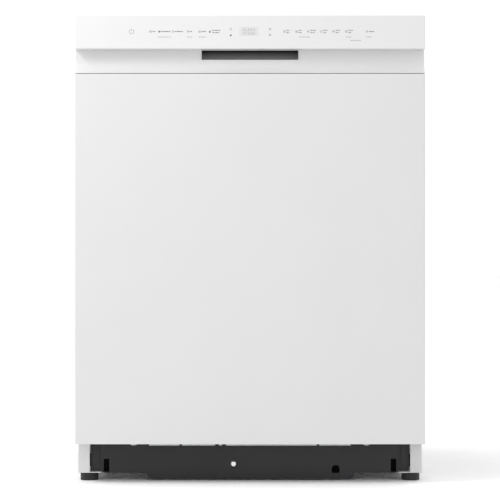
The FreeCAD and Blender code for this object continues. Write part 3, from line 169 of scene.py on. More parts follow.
def felt_surface():
    """Pressed felt: pale and dark fibres, a soft sheen and a rough face."""
    made = surface("felt_blanket", (0.05, 0.05, 0.054), 0.95, grain=420.0, strength=0.9, depth=1.2,
                   spread=0.25, swing=0.04, Sheen_Weight=0.35, Sheen_Roughness=0.6)
    tree = made.node_tree
    shader = tree.nodes["Principled BSDF"]
    place = tree.nodes.new("ShaderNodeTexCoord").outputs["Object"]
    fibres = noise_of(tree, place, 160.0, 8.0, (1, 3, 0.7))
    colour = blend_of(tree, fibres, (0.025, 0.025, 0.028), (0.105, 0.105, 0.11))
    tree.links.new(colour, shader.inputs["Base Color"])
    return made


finishes = {
    "white_enamel": surface("white_enamel", (0.60, 0.60, 0.603), 0.32, grain=520.0, strength=0.05,
                            depth=0.04, spread=0.008, Coat_Weight=0.35, Coat_Roughness=0.18),
    "white_plastic": surface("white_plastic", (0.64, 0.64, 0.643), 0.30, grain=1400.0, strength=0.05,
                             depth=0.02, spread=0.006, swing=0.02),
    "display_tint": surface("display_tint", (0.60, 0.60, 0.605), 0.24, grain=300.0, strength=0.01,
                            spread=0.01, swing=0.02),
    "dark_plastic": surface("dark_plastic", (0.24, 0.24, 0.245), 0.42, grain=1800.0, strength=0.25,
                            spread=0.06),
    # near-black finish for the painted shade inside the toe cover's slots and arch
    "slot_painted_shade": surface("slot_painted_shade", (0.002, 0.002, 0.002), 0.95, grain=1500.0, strength=0.1,
                          swing=0.02, Specular_IOR_Level=0.05),
    "black_plastic": surface("black_plastic", (0.018, 0.018, 0.020), 0.46, grain=1500.0, strength=0.35,
                             spread=0.1, swing=0.07, Specular_IOR_Level=0.35),
    "grey_plastic": surface("grey_plastic", (0.36, 0.37, 0.385), 0.42, grain=1600.0, strength=0.2),
    "light_plastic": surface("light_plastic", (0.62, 0.63, 0.63), 0.38, grain=1600.0, strength=0.15),
    "clear_plastic": surface("clear_plastic", (0.80, 0.84, 0.87), 0.30, grain=600.0, strength=0.1,
                             Transmission_Weight=0.55, IOR=1.45),
    "stainless": surface("stainless", (0.60, 0.60, 0.59), 0.30, 1.0, grain=1300.0, strength=0.10,
                         depth=0.03, spread=0.03, swing=0.09, stretch=(0.02, 0.02, 1)),
    "galvanised": surface("galvanised", (0.60, 0.615, 0.63), 0.42, 1.0, grain=300.0, strength=0.05,
                          spread=0.05, swing=0.05, cells=160.0),
    "screw_steel": surface("screw_steel", (0.74, 0.74, 0.74), 0.20, 1.0, grain=900.0, strength=0.05),
    "spring_steel": surface("spring_steel", (0.36, 0.36, 0.37), 0.34, 1.0, grain=1200.0, strength=0.1,
                            stretch=(1, 0.05, 1)),
    "rubber_grey": surface("rubber_grey", (0.115, 0.115, 0.12), 0.62, grain=1100.0, strength=0.3),
    "rack_coating": surface("rack_coating", (0.31, 0.33, 0.355), 0.33, grain=700.0, strength=0.12,
                            Coat_Weight=0.3, Coat_Roughness=0.25),
    "felt": felt_surface(),
    "cord": surface("cord", (0.62, 0.61, 0.57), 0.85, grain=1500.0, strength=0.8, depth=0.3,
                    spread=0.12, stretch=(1, 0.3, 1)),
    "filter_mesh": surface("filter_mesh", (0.55, 0.55, 0.54), 0.30, 1.0, grain=1400.0, strength=0.1,
                           stretch=(0.03, 1, 1)),
}
print_grey = surface("print_grey", (0.115, 0.117, 0.12), 0.5, grain=1500.0, strength=0.05)
print_faint = surface("print_faint", (0.29, 0.292, 0.295), 0.5, grain=1500.0, strength=0.05)

BEVELS_MM = {
    "outer_door_panel": 0.5, "control_console": 0.5, "handle_pocket": 0.6, "toe_cover": 0.6,
    "base_side_left": 0.35, "base_side_right": 0.35, "front_frame": 0.35, "detergent_lid": 0.8,
    "dispenser_body": 0.8, "rinse_aid_cap": 0.8, "silverware_basket": 0.45, "filter_cylinder": 0.8,
    "lower_spray_arm": 1.6, "middle_spray_arm": 1.6, "top_spray_arm": 1.6, "foot_front_left": 1.0,
    "foot_front_right": 1.0, "foot_rear": 1.0, "inlet_valve": 0.8, "circulation_pump": 1.0,
    "drain_pump": 0.8, "hinge_brackets": 0.4, "hinge_arms": 0.4, "latch_body": 0.6,
    "lower_rack_front_wheels": 0.8, "lower_rack_rear_wheels": 0.8, "junction_box": 0.4,
    "inner_door_panel": 0.35, "door_screws": 0.5, "air_break": 0.8, "sump": 1.0,
}


def dress_cad_nodes():
    """Every CAD node gets its slot's finish, and the visible ones slightly rounded edges."""
    for part in frame["record"]["subparts"]:
        piece = frame["nodes"][part["node"]]
        piece.data.materials.clear()
        piece.data.materials.append(finishes[part["material_slot"]])
        width = BEVELS_MM.get(part["node"])
        if width:
            soften(piece, width * MM, 40).harden_normals = False


def paint_pocket_shade():
    """Painted shade in the finger pocket: its plastic's colour runs from mid grey at its floor to nearly
    black under its roof, standing in for the shade in the recess.
    """
    ramp_height = 24.0 * MM
    piece = frame["nodes"]["handle_pocket"]
    made = surface("pocket_painted_shade", (0.24, 0.24, 0.245), 0.42, grain=1800.0, strength=0.25, spread=0.06)
    tree = made.node_tree
    floor_z = min(v.co.z for v in piece.data.vertices)
    split = tree.nodes.new("ShaderNodeSeparateXYZ")
    tree.links.new(tree.nodes.new("ShaderNodeTexCoord").outputs["Object"], split.inputs["Vector"])
    height = tree.nodes.new("ShaderNodeMapRange")
    height.inputs["From Min"].default_value = floor_z
    height.inputs["From Max"].default_value = floor_z + ramp_height
    tree.links.new(split.outputs["Z"], height.inputs["Value"])
    # painted shade: darker towards the pocket's roof, lighter at its floor
    colour = blend_of(tree, height.outputs["Result"], (0.42, 0.42, 0.425), (0.03, 0.03, 0.032))
    tree.links.new(colour, tree.nodes["Principled BSDF"].inputs["Base Color"])
    piece.data.materials[0] = made


# ------------------------------------------------------------ mesh helpers
def piece_from(name, mesh_maker, finish, body, smooth=True):
    """Object made by filling a bmesh. It rides on a body, or with body None is left without one."""
    mesh = bpy.data.meshes.new(name)
    bm = bmesh.new()
    mesh_maker(bm)
    bmesh.ops.recalc_face_normals(bm, faces=bm.faces)
    bm.to_mesh(mesh)
    bm.free()
    mesh.materials.append(finish)
    mesh.shade_smooth() if smooth else mesh.shade_flat()
    made = bpy.data.objects.new(name, mesh)
    bpy.context.scene.collection.objects.link(made)
    if body:
        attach(made, body)
    return made


def soften(piece, width, degrees=35):
    """Rounds the edges that are sharper than an angle."""
    bevel = piece.modifiers.new("edges", "BEVEL")
    bevel.width = width
    bevel.segments = 2
    bevel.limit_method = "ANGLE"
    bevel.angle_limit = math.radians(degrees)
    return bevel


def add_box(bm, low, high):
    size = Vector(high) - Vector(low)
    centre = (Vector(high) + Vector(low)) / 2
    place = Matrix.Translation(centre) @ Matrix.Diagonal((abs(size.x), abs(size.y), abs(size.z), 1))
    bmesh.ops.create_cube(bm, size=1.0, matrix=place)


def add_rod(bm, start, end, r, segments=24):
    start, end = Vector(start), Vector(end)
    span = end - start
    turn = span.to_track_quat("Z", "Y").to_matrix().to_4x4()
    bmesh.ops.create_cone(bm, cap_ends=True, segments=segments, radius1=r, radius2=r,
                          depth=span.length, matrix=Matrix.Translation((start + end) / 2) @ turn)


def add_plate(bm, outline, y_near, y_far):
    """Flat plate from an outline of x and z, between two depths."""
    near = [bm.verts.new((x, y_near, z)) for x, z in outline]
    far = [bm.verts.new((x, y_far, z)) for x, z in outline]
    bm.faces.new(near)
    bm.faces.new(far[::-1])
    for i in range(len(near)):
        j = (i + 1) % len(near)
        bm.faces.new((near[i], far[i], far[j], near[j]))


def join_rings(bm, rings):
    """Skin through rings of equally many points, with its two ends closed."""
    count = len(rings[0])
    for a, b in zip(rings, rings[1:]):
        for j in range(count):
            k = (j + 1) % count
            bm.faces.new((a[j], a[k], b[k], b[j]))
    bm.faces.new(rings[0])
    bm.faces.new(rings[-1])


def add_tube(bm, path, r, sides=8):
    """Closed tube of radius r through the points of a path."""
    path = [Vector(p) for p in path]
    along = [(b - a).normalized() for a, b in zip(path, path[1:])]
    turn = along[0].orthogonal().normalized()
    rings = []
    for i, point in enumerate(path):
        way = along[max(i - 1, 0)] + along[min(i, len(along) - 1)]
        way.normalize()
        turn = (turn - way * turn.dot(way)).normalized()
        across = way.cross(turn)
        rings.append([bm.verts.new(point + (turn * math.cos(a) + across * math.sin(a)) * r)
                      for a in (2 * math.pi * k / sides for k in range(sides))])
    join_rings(bm, rings)


# ------------------------------------------------------------ bent wire
def rounded_path(points, bend, closed=False):
    """Points of a wire with round corners of about the given radius."""
    count = len(points)
    made = []
    for i, corner in enumerate(points):
        corner = Vector(corner)
        if not closed and i in (0, count - 1):
            made.append(corner)
            continue
        before = (Vector(points[i - 1]) - corner)
        after = (Vector(points[(i + 1) % count]) - corner)
        angle = before.angle(after)
        if angle > math.radians(178):
            made.append(corner)
            continue
        longest = 0.48 * min(before.length, after.length)
        trim = min(bend / math.tan(angle / 2), longest)
        a, b = corner + before.normalized() * trim, corner + after.normalized() * trim
        steps = 6
        for k in range(steps + 1):      # a quadratic curve from side to side
            t = k / steps
            made.append((1 - t) ** 2 * a + 2 * t * (1 - t) * corner + t * t * b)
    return made


def wires(name, runs, r, finish, body, round_tips=False):
    """One curve object with a tube of radius r along every run; a run is (points, bend, closed)."""
    curve = bpy.data.curves.new(name, "CURVE")
    curve.dimensions = "3D"
    curve.bevel_depth = r
    curve.bevel_resolution = 3
    curve.use_fill_caps = True
    for points, bend, closed in runs:
        path = rounded_path(points, bend, closed)
        sizes = [1.0] * len(path)
        if round_tips and not closed:
            along = (path[-1] - path[-2]).normalized()
            tip = path.pop()
            dome = (0.5, 0.95, 1.35)
            path += [tip - along * (r * (1 - math.sin(a))) for a in (0.0, *dome)]
            sizes = [1.0] * (len(path) - len(dome)) + [math.cos(a) for a in dome]
        spline = curve.splines.new("POLY")
        spline.points.add(len(path) - 1)
        for point, place, size in zip(spline.points, path, sizes):
            point.co = (*place, 1)
            point.radius = size
        spline.use_cyclic_u = closed
    curve.materials.append(finish)
    made = bpy.data.objects.new(name, curve)
    bpy.context.scene.collection.objects.link(made)
    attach(made, body)
    return made


def spread(start, end, count):
    return [start + (end - start) * i / (count - 1) for i in range(count)]


def loop_at(z, x, y0, y1):
    return [(-x, y0, z), (x, y0, z), (x, y1, z), (-x, y1, z)]


def rack_wires(name, body, x, y0, y1, low, high, across, along):
    """Basket of bent wire: three hoops, and wires that run down, under and up again both ways."""
    inset = FRAME_WIRE
    hoops = [(loop_at(z, x - inset, y0 + inset, y1 - inset), HOOP_BEND, True)
             for z in (low, (low + high) / 2, high)]
    wires(name + "_hoops", hoops, FRAME_WIRE, finishes["rack_coating"], body)
    side = x - 2 * FRAME_WIRE - WIRE
    bottom = low + FRAME_WIRE + WIRE
    bows = []
    for y in spread(y0 + END_GAP, y1 - END_GAP, across):
        floor = bottom + 2 * WIRE
        bows.append(([(-side, y, high), (-side, y, floor), (side, y, floor), (side, y, high)],
                     WIRE_BEND, False))
    for place in spread(-x + SIDE_GAP, x - SIDE_GAP, along):
        a, b = y0 + 2 * FRAME_WIRE + WIRE, y1 - 2 * FRAME_WIRE - WIRE
        bows.append(([(place, a, high), (place, a, bottom), (place, b, bottom), (place, b, high)],
                     WIRE_BEND, False))
    return wires(name + "_bows", bows, WIRE, finishes["rack_coating"], body)


def make_lower_rack():
    """Lower rack between its wheels, with upright tines on both sides of the folding ones."""
    x = wheel_high.x - 16 * MM
    y0, y1 = lower_low.y, lower_high.y
    low = wheel_high.z - 2 * MM
    high = lower_high.z - FRAME_WIRE
    plate, half_long, axle_half = 3 * MM, 13 * MM, 6 * MM
    axle_long, axle_r = 17 * MM, 3.95 * MM
    bows = rack_wires("lower_rack", "lower_rack", x, y0, y1, low, high, 9, 11)
    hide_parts("lower_rack")
    floor = low + FRAME_WIRE + 3 * WIRE
    fold_x = (tines_low.x + tines_high.x) / 2
    tall = 76 * MM
    tines = []
    for y in spread(y0 + END_GAP, y1 - END_GAP, 9):
        for from_fold in (-130, -88, -46, 100, 145):
            place = fold_x + from_fold * MM
            tines.append(([(place, y, floor), (place, y, floor + tall)], 0.0, False))
    wires("lower_rack_tines", tines, WIRE, finishes["rack_coating"], "lower_rack", True)

    def carriers(bm):
        """Wheel carriers with their axles, and the two bearings of the folding tines."""
        for box_low, box_high in (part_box("lower_rack_front_wheels"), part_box("lower_rack_rear_wheels")):
            mid = (box_low.y + box_high.y) / 2
            axle_z = (box_low.z + box_high.z) / 2
            for s in SIDES:
                add_box(bm, (s * x, mid - half_long, axle_z - axle_half),
                        (s * (x + plate), mid + half_long, low + 12 * MM))
                add_rod(bm, (s * x, mid, axle_z), (s * (x + axle_long), mid, axle_z), axle_r)
        for y in (tines_low.y - 2 * MM, tines_high.y - 14 * MM):
            add_box(bm, (fold_x - 5 * MM, y, floor), (fold_x + 5 * MM, y + 9 * MM, floor + 10 * MM))

    made = piece_from("lower_rack_carriers", carriers, finishes["grey_plastic"], "lower_rack",
                      False)
    soften(made, 0.8 * MM)


def make_fold_tines():
    """One row of tines on a shaft that folds."""
    shaft_r = 2.5 * MM
    x = (tines_low.x + tines_high.x) / 2
    z = tines_low.z + shaft_r
    shaft = wires("fold_tine_shaft", [([(x, tines_low.y, z), (x, tines_high.y, z)], 0.0, False)],
                  shaft_r, finishes["rack_coating"], "fold_tines")
    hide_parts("fold_tines")
    rows = [([(x, y, z), (x, y, tines_high.z)], 0.0, False)
            for y in spread(tines_low.y + 18 * MM, tines_high.y - 18 * MM, 8)]
    wires("fold_tine_rows", rows, WIRE, finishes["rack_coating"], "fold_tines", True)


def make_upper_rack():
    """Upper rack between its rollers, with the water pipe to the middle arm under it."""
    roller_reach = 15 * MM
    x = roller_high.x - roller_reach
    y0, y1 = upper_low.y, lower_high.y
    track_z = (roller_low.z + roller_high.z) / 2
    low = track_z - 90 * MM
    high = low + 145 * MM
    bows = rack_wires("upper_rack", "upper_rack", x, y0, y1, low, high, 9, 11)
    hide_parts("upper_rack")
    floor = low + FRAME_WIRE + 3 * WIRE
    tines = [([(place, y, floor), (place, y, floor + 45 * MM)], 0.0, False)
             for y in spread(y0 + END_GAP, y1 - END_GAP, 9) for place in (-60 * MM, 60 * MM)]
    wires("upper_rack_tines", tines, WIRE, finishes["rack_coating"], "upper_rack", True)
    hinge_x, shelf_z = shelf_low.x + 2.5 * MM, (shelf_low.z + shelf_high.z) / 2
    arm_low, arm_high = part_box("middle_spray_arm")
    arm_y = (arm_low.y + arm_high.y) / 2
    plate, half_long, half_tall, pin_r = 3 * MM, 14 * MM, 16 * MM, 2.95 * MM
    pipe_r, riser_r, collar_r = 6 * MM, 9 * MM, 12 * MM

    def carriers(bm):
        """Roller carriers with their pins, and the two hinges of the cup shelf."""
        rollers = (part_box("upper_rack_front_rollers"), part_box("upper_rack_rear_rollers"))
        places = [(r[0].y + r[1].y) / 2 for r in rollers]
        for s in SIDES:
            add_box(bm, (s * x, places[0] - half_long, track_z - half_tall),
                    (s * (x + plate), places[1] + half_long, track_z + half_tall))
            for y in places:
                add_rod(bm, (s * x, y, track_z), (s * (x + roller_reach), y, track_z), pin_r)
        for y in (shelf_low.y + 12 * MM, shelf_high.y - 12 * MM):
            add_rod(bm, (-x + FRAME_WIRE, y, high), (-x + FRAME_WIRE, y, shelf_z - 5 * MM), WIRE)
            add_box(bm, (-x - 1 * MM, y - 4 * MM, shelf_z - 6 * MM),
                    (hinge_x + 6 * MM, y + 4 * MM, shelf_z + 6 * MM))

    made = piece_from("upper_rack_carriers", carriers, finishes["grey_plastic"], "upper_rack",
                      False)
    soften(made, 0.8 * MM)
    feed_z = low - 9 * MM

    def feed(bm):
        """Water pipe under the rack, its riser to the middle arm, and the clip that holds it."""
        add_rod(bm, (0, arm_y, feed_z), (0, upper_high.y, feed_z), pipe_r, 32)
        add_rod(bm, (0, arm_y, feed_z + 4 * MM), (0, arm_y, arm_high.z - 12.5 * MM), riser_r, 32)
        add_rod(bm, (0, arm_y, arm_low.z - 2.5 * MM), (0, arm_y, arm_low.z - 0.5 * MM), collar_r, 32)
        add_box(bm, (-12 * MM, y1 - 40 * MM, feed_z), (12 * MM, y1 - 30 * MM, low + 3 * MM))

    made = piece_from("upper_rack_feed", feed, finishes["grey_plastic"], "upper_rack", False)
    soften(made, 1.0 * MM)


def make_cup_shelf():
    """Folding shelf of wire along one side of the upper rack."""
    rim_r = 2.5 * MM
    x0, x1 = shelf_low.x + rim_r, shelf_high.x - rim_r
    z = (shelf_low.z + shelf_high.z) / 2
    y0, y1 = shelf_low.y, shelf_high.y
    rim = [([(x0, y0 + 1 * MM, z), (x0, y1 - 1 * MM, z)], 0.0, False),
           ([(x0, y0 + 4 * MM, z), (x1, y0 + 4 * MM, z), (x1, y1 - 4 * MM, z), (x0, y1 - 4 * MM, z)],
            14 * MM, False)]
    edge = wires("cup_shelf_rim", rim, rim_r, finishes["rack_coating"], "cup_shelf")
    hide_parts("cup_shelf")
    ribs = [([(x0, y, z), (x1 - 22 * MM, y, z), (x1, y, z)], 0.0, False)
            for y in spread(y0 + 26 * MM, y1 - 26 * MM, 8)]
    wires("cup_shelf_ribs", ribs, WIRE, finishes["rack_coating"], "cup_shelf")


# ------------------------------------------------------------ soft pieces
def arch_path(x, z_low, z_high, corner, step):
    """Points up one side, over two round corners and down the other, with each outward direction."""
    points = []
    side = z_high - corner - z_low
    side_steps = int(side / step)
    for i in range(side_steps + 1):
        points.append((Vector((-x, 0, z_low + side * i / side_steps)), -X))
    corner_steps = 8
    for i in range(1, corner_steps):
        a = math.pi - math.pi / 2 * i / corner_steps
        out = Vector((math.cos(a), 0, math.sin(a)))
        points.append((Vector((-x + corner, 0, z_high - corner)) + out * corner, out))
    flat = 2 * (x - corner)
    flat_steps = int(flat / step)
    for i in range(flat_steps + 1):
        points.append((Vector((-x + corner + flat * i / flat_steps, 0, z_high)), Z))
    mirrored = [(Vector((-p.x, 0, p.z)), Vector((-n.x, 0, n.z))) for p, n in points
                if p.x < -x + corner - 1e-6]
    return points + mirrored[::-1]


def make_blanket():
    """Felt blanket over the tub: it swells between its fastenings and thins at its edges."""
    corner = 32 * MM
    thick = 8 * MM
    hollow = thick * 0.62       # how far a pressed place lies under the full face
    step = 9 * MM
    fastener_rows = (0.22, 0.78)
    fasteners = 6               # in each row
    deep = blanket_high.y - blanket_low.y
    path = arch_path(blanket_high.x, blanket_low.z, blanket_high.z, corner, step)
    rows = int(deep / step)
    window_y = (air_low.y - 10 * MM, air_high.y + 10 * MM)
    window_z = (air_low.z - 2 * MM, air_high.z + 10 * MM)

    def inside_window(p):
        return p.x < 0 and window_y[0] < p.y < window_y[1] and window_z[0] < p.z < window_z[1]

    lengths = [0.0]
    for (a, _), (b, _) in zip(path, path[1:]):
        lengths.append(lengths[-1] + (b - a).length)
    total = lengths[-1]
    spots = [total * (k + 0.5) / fasteners for k in range(fasteners)]

    def swell(s, v):
        """0 to 1: full between the fastenings, pressed at them and at the edges."""
        rim = min(s, total - s, v * deep, (1 - v) * deep)
        edge = min(rim / (14 * MM), 1.0)
        broad = noise.noise(Vector((s * 9, v * 5, 3.1)))
        small = noise.noise(Vector((s * 31, v * 17, 1.7)))
        wave = broad * 0.5 + small * 0.2
        dimple = 1.0
        for row in fastener_rows:
            for spot in spots:
                away = math.hypot(s - spot, (v - row) * deep)
                dimple = min(dimple, 1 - 0.75 * math.exp(-(away / (22 * MM)) ** 2))
        return max(0.0, min(1.0, math.sin(edge * math.pi / 2) * dimple * (0.78 + 0.3 * wave)))

    def fill(bm):
        outer, inner = [], []
        for (p, out), s in zip(path, lengths):
            ring_out, ring_in = [], []
            for j in range(rows + 1):
                v = j / rows
                y = blanket_low.y + deep * v
                base = Vector((p.x, y, p.z))
                ring_in.append(bm.verts.new(base - out * (thick - 0.3 * MM)))
                ring_out.append(bm.verts.new(base - out * (hollow * (1 - swell(s, v)))))
            outer.append(ring_out)
            inner.append(ring_in)
        for grid in (outer, inner):
            for a, b in zip(grid, grid[1:]):
                for j in range(rows):
                    centre = (a[j].co + a[j + 1].co + b[j].co + b[j + 1].co) / 4
                    if not inside_window(centre):
                        bm.faces.new((a[j], a[j + 1], b[j + 1], b[j]))
        edges = [e for e in bm.edges if len(e.link_faces) == 1]
        twin = {}
        for ring_out, ring_in in zip(outer, inner):
            for a, b in zip(ring_out, ring_in):
                twin[a] = b
        for e in edges:
            a, b = e.verts
            if a in twin and b in twin:
                bm.faces.new((a, b, twin[b], twin[a]))
        for v in [v for v in bm.verts if not v.link_faces]:
            bm.verts.remove(v)

    made = piece_from("insulation_blanket_felt", fill, finishes["felt"], "root")
    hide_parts("insulation_blanket")
    seats = []
    for row in fastener_rows:
        y = blanket_low.y + deep * row
        for spot in spots:
            index = min(range(len(lengths)), key=lambda i: abs(lengths[i] - spot))
            p, out = path[index]
            at = Vector((p.x, y, p.z))
            if not inside_window(at):
                seats.append((at - out * 4.5 * MM, at - out * 1.2 * MM))

    def rosettes(bm):
        for a, b in seats:
            add_rod(bm, a, b, 9 * MM, 28)
            add_rod(bm, b - (b - a) * 0.3, b + (b - a).normalized() * 0.9 * MM, 4 * MM, 20)

    made = piece_from("blanket_fasteners", rosettes, finishes["black_plastic"], "root",
                      False)
    soften(made, 0.5 * MM)


def make_gasket():
    """Door gasket: a bulb with a lip towards the door, swept round the mouth."""
    corner = 27 * MM
    bulb_r = 3 * MM
    path = arch_path(gasket_high.x - bulb_r, gasket_low.z, gasket_high.z - bulb_r, corner, 12 * MM)
    deep = gasket_high.y - gasket_low.y
    section = [(-3.0, 1.0), (-3.0, 0.72), (-2.2, 0.60), (-2.9, 0.45), (-2.6, 0.22), (-1.4, 0.06), (0.0, 0.0),
               (1.4, 0.06), (2.6, 0.22), (2.9, 0.45), (2.2, 0.60), (3.0, 0.72), (3.0, 1.0)]

    def fill(bm):
        rings = []
        for p, out in path:
            rings.append([bm.verts.new(Vector((p.x, gasket_low.y + deep * share, p.z)) + out * (offset * MM))
                          for offset, share in section])
        join_rings(bm, rings)

    made = piece_from("tub_gasket_profile", fill, finishes["rubber_grey"], "root")
    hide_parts("tub_gasket")


def make_bottom_seal():
    """Rubber strip along the door's lower inner edge, with two lips that droop a little."""
    deep = seal_high.y - seal_low.y
    tall = seal_high.z - seal_low.z
    stations = 60
    section = [(0.0, 0.0), (0.35, 0.10), (0.8, 0.16), (1.0, 0.26), (0.95, 0.36), (0.55, 0.38), (0.5, 0.52),
               (0.9, 0.60), (0.98, 0.70), (0.85, 0.80), (0.4, 0.90), (0.0, 1.0)]

    def fill(bm):
        rings = []
        for i in range(stations + 1):
            x = seal_low.x + (seal_high.x - seal_low.x) * i / stations
            wave = 0.97 + 0.03 * math.sin(i * 0.7)
            rings.append([bm.verts.new((x, seal_low.y + deep * a * wave, seal_low.z + tall * b))
                          for a, b in section])
        join_rings(bm, rings)

    made = piece_from("door_bottom_seal_lips", fill, finishes["rubber_grey"], "door")
    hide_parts("door_bottom_seal")


# ------------------------------------------------------------ toe cover
def make_toe_slot_shade_plates():
    """Painted shade: near-black plates inside the toe cover's two end slots and its small arch, standing in
    for the shade in these holes.
    """
    raised_marks = 0.6 * MM     # they stand in front of the cover's face
    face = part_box("toe_cover")[0].y + raised_marks
    near, far = face + 1.2 * MM, face + 2.15 * MM
    cover_half = half - 42.0 * MM
    slot_out, slot_in, slot_low, slot_high = 3.2 * MM, 12.8 * MM, 15.2 * MM, 37.8 * MM
    arch_x, arch_z, arch_r = cover_half - 110.0 * MM, 20.0 * MM, 6.9 * MM
    arch_low = 13.1 * MM

    def fill(bm):
        outlines = []
        for s in SIDES:
            a, b = s * (cover_half - slot_in), s * (cover_half - slot_out)
            outlines.append([(a, slot_low), (b, slot_low), (b, slot_high), (a, slot_high)])
        arch = [(arch_x - arch_r, arch_low), (arch_x + arch_r, arch_low)]
        arch += [(arch_x + arch_r * math.cos(a), arch_z + arch_r * math.sin(a))
                 for a in (math.pi * i / 10 for i in range(11))]
        outlines.append(arch)
        for outline in outlines:
            add_plate(bm, outline, near, far)

    piece_from("toe_slot_painted_shade", fill, finishes["slot_painted_shade"], "root", False)


# ------------------------------------------------------------ door balance
def make_balance():
    """Spring coils from their hooks to the base's end, and cords from the pulleys to the hooks and to the
    hinge levers.
    """
    spring_low, spring_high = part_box("door_springs")
    hook_low, hook_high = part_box("spring_hooks")
    pulley_low, pulley_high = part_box("cord_pulleys")
    arm_low, arm_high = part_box("hinge_arms")
    wire_r, coil_r, turns, steps = 1.4 * MM, 5.6 * MM, 30, 14
    stub = 3.0 * MM             # straight wire inside the hook
    tail = 18.0 * MM            # straight wire at the base's end
    spring_x = spring_high.x - wire_r - coil_r
    spring_z = (spring_low.z + spring_high.z) / 2
    start, end = hook_high.y, spring_high.y - tail

    def fill_springs(bm):
        for s in SIDES:
            path = [(s * spring_x, start - stub, spring_z)]
            last = turns * steps
            for i in range(last + 1):
                a = 2 * math.pi * i / steps
                r = coil_r * min(1.0, i / steps * 2 + 0.05, (last - i) / steps * 2 + 0.05)
                path.append((s * spring_x + r * math.cos(a), start + (end - start) * i / last,
                             spring_z + r * math.sin(a)))
            path.append((s * spring_x, spring_high.y, spring_z))
            add_tube(bm, path, wire_r)

    springs = piece_from("balance_spring_coils", fill_springs, finishes["spring_steel"], None)
    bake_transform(springs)
    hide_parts("door_springs")

    cord_r = 1.2 * MM
    groove = 1.5 * MM           # pulley rim to the middle of the cord
    cord_x = pulley_high.x - 3.0 * MM
    pulley_y, pulley_z = (pulley_low.y + pulley_high.y) / 2, (pulley_low.z + pulley_high.z) / 2
    run_r = (pulley_high.z - pulley_low.z) / 2 - groove
    eye = (arm_high.y - 5.0 * MM, arm_low.z - 0.3 * MM)     # at the hinge lever's tail
    off = (pulley_y - run_r, pulley_z)                      # where the cord leaves the pulley

    def fill_low(bm):
        for s in SIDES:
            path = [(s * cord_x, pulley_y - run_r * math.cos(a), pulley_z - run_r * math.sin(a))
                    for a in (math.radians(d) for d in range(0, 91, 10))]
            path.append((s * cord_x, hook_low.y, pulley_z - run_r))
            add_tube(bm, path, cord_r)

    def fill_high(bm):
        for s in SIDES:
            add_tube(bm, [(s * cord_x, *off), (s * cord_x, *eye)], cord_r)

    low_run = piece_from("spring_cord_runs", fill_low, finishes["cord"], None)
    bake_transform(low_run)
    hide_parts("spring_cords")
    high_run = piece_from("lever_cord_runs", fill_high, finishes["cord"], None)
    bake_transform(high_run)


# ------------------------------------------------------------ marks on the fascia
class Marks:
    """Flat printed shapes on the fascia, in millimetres from the middle and from the floor."""

    def __init__(self):
        self.shapes = []

    def bar(self, x0, x1, z0, z1):
        self.shapes.append([(x0, z0), (x1, z0), (x1, z1), (x0, z1)])

    def disc(self, x, z, r, count=16):
        self.shapes.append([(x + r * math.cos(a), z + r * math.sin(a))
                            for a in (2 * math.pi * i / count for i in range(count))])

    def ring(self, x, z, r, width, start=0.0, end=360.0, count=20):
        a0, a1 = math.radians(start), math.radians(end)
        for i in range(count):
            a, b = a0 + (a1 - a0) * i / count, a0 + (a1 - a0) * (i + 1) / count
            self.shapes.append([(x + q * math.cos(t), z + q * math.sin(t))
                                for q, t in ((r, a), (r, b), (r - width, b), (r - width, a))])

    def line(self, x0, z0, x1, z1, width):
        along = Vector((x1 - x0, z1 - z0)).normalized() * (width / 2)
        self.shapes.append([(x0 - along.y, z0 + along.x), (x0 + along.y, z0 - along.x),
                            (x1 + along.y, z1 - along.x), (x1 - along.y, z1 + along.x)])

    def dashes(self, x, z, width, tall=1.5):
        """Row of short bars that stands for a caption."""
        lengths = (2.6, 1.4, 3.2, 1.9, 2.3)
        shortest, gap = 0.8, 0.75
        place, k = x - width / 2, 0
        while place < x + width / 2 - shortest:
            end = min(place + lengths[k % len(lengths)], x + width / 2)
            self.bar(place, end, z - tall / 2, z + tall / 2)
            place, k = end + gap, k + 1

    def write(self, name, finish):
        """Every shape so far, as one thin layer of print on the fascia."""
        deep = 0.12 * MM

        def fill(bm):
            for shape in self.shapes:
                add_plate(bm, [(x * MM, z * MM) for x, z in shape], front - deep, front)

        return piece_from(name, fill, finish, "door", False)


def draw_icon(marks, kind, x, z):
    """One of a few plain pictograms, about four millimetres across."""
    if kind == "plate":
        marks.ring(x, z, 2.0, 0.45)
        marks.ring(x, z, 1.0, 0.35)
    elif kind == "drop":
        marks.ring(x, z - 0.5, 1.4, 0.45, 150, 390)
        marks.line(x - 1.2, z + 0.1, x, z + 2.0, 0.45)
        marks.line(x + 1.2, z + 0.1, x, z + 2.0, 0.45)
    elif kind == "clock":
        marks.ring(x, z, 2.0, 0.4)
        marks.line(x, z, x, z + 1.3, 0.4)
        marks.line(x, z, x + 1.0, z, 0.4)
    elif kind == "waves":
        for dz in (-1.2, 0.0, 1.2):
            marks.ring(x - 1.0, z + dz - 0.5, 1.1, 0.4, 20, 160, 8)
            marks.ring(x + 1.0, z + dz + 0.7, 1.1, 0.4, 200, 340, 8)
    elif kind == "rack":
        marks.bar(x - 2.0, x + 2.0, z - 1.6, z - 1.2)
        for dx in (-1.8, -0.6, 0.6, 1.8):
            marks.bar(x + dx - 0.2, x + dx + 0.2, z - 1.6, z + 1.6)
    elif kind == "lock":
        marks.bar(x - 1.5, x + 1.5, z - 1.9, z + 0.3)
        marks.ring(x, z + 0.3, 1.2, 0.4, 0, 180)
    elif kind == "play":
        marks.line(x - 1.3, z - 1.7, x - 1.3, z + 1.7, 0.45)
        marks.line(x - 1.3, z + 1.7, x + 1.6, z, 0.45)
        marks.line(x - 1.3, z - 1.7, x + 1.6, z, 0.45)
    elif kind == "pot":
        marks.bar(x - 1.6, x + 1.6, z - 1.6, z + 0.6)
        marks.bar(x - 2.2, x + 2.2, z + 0.9, z + 1.4)


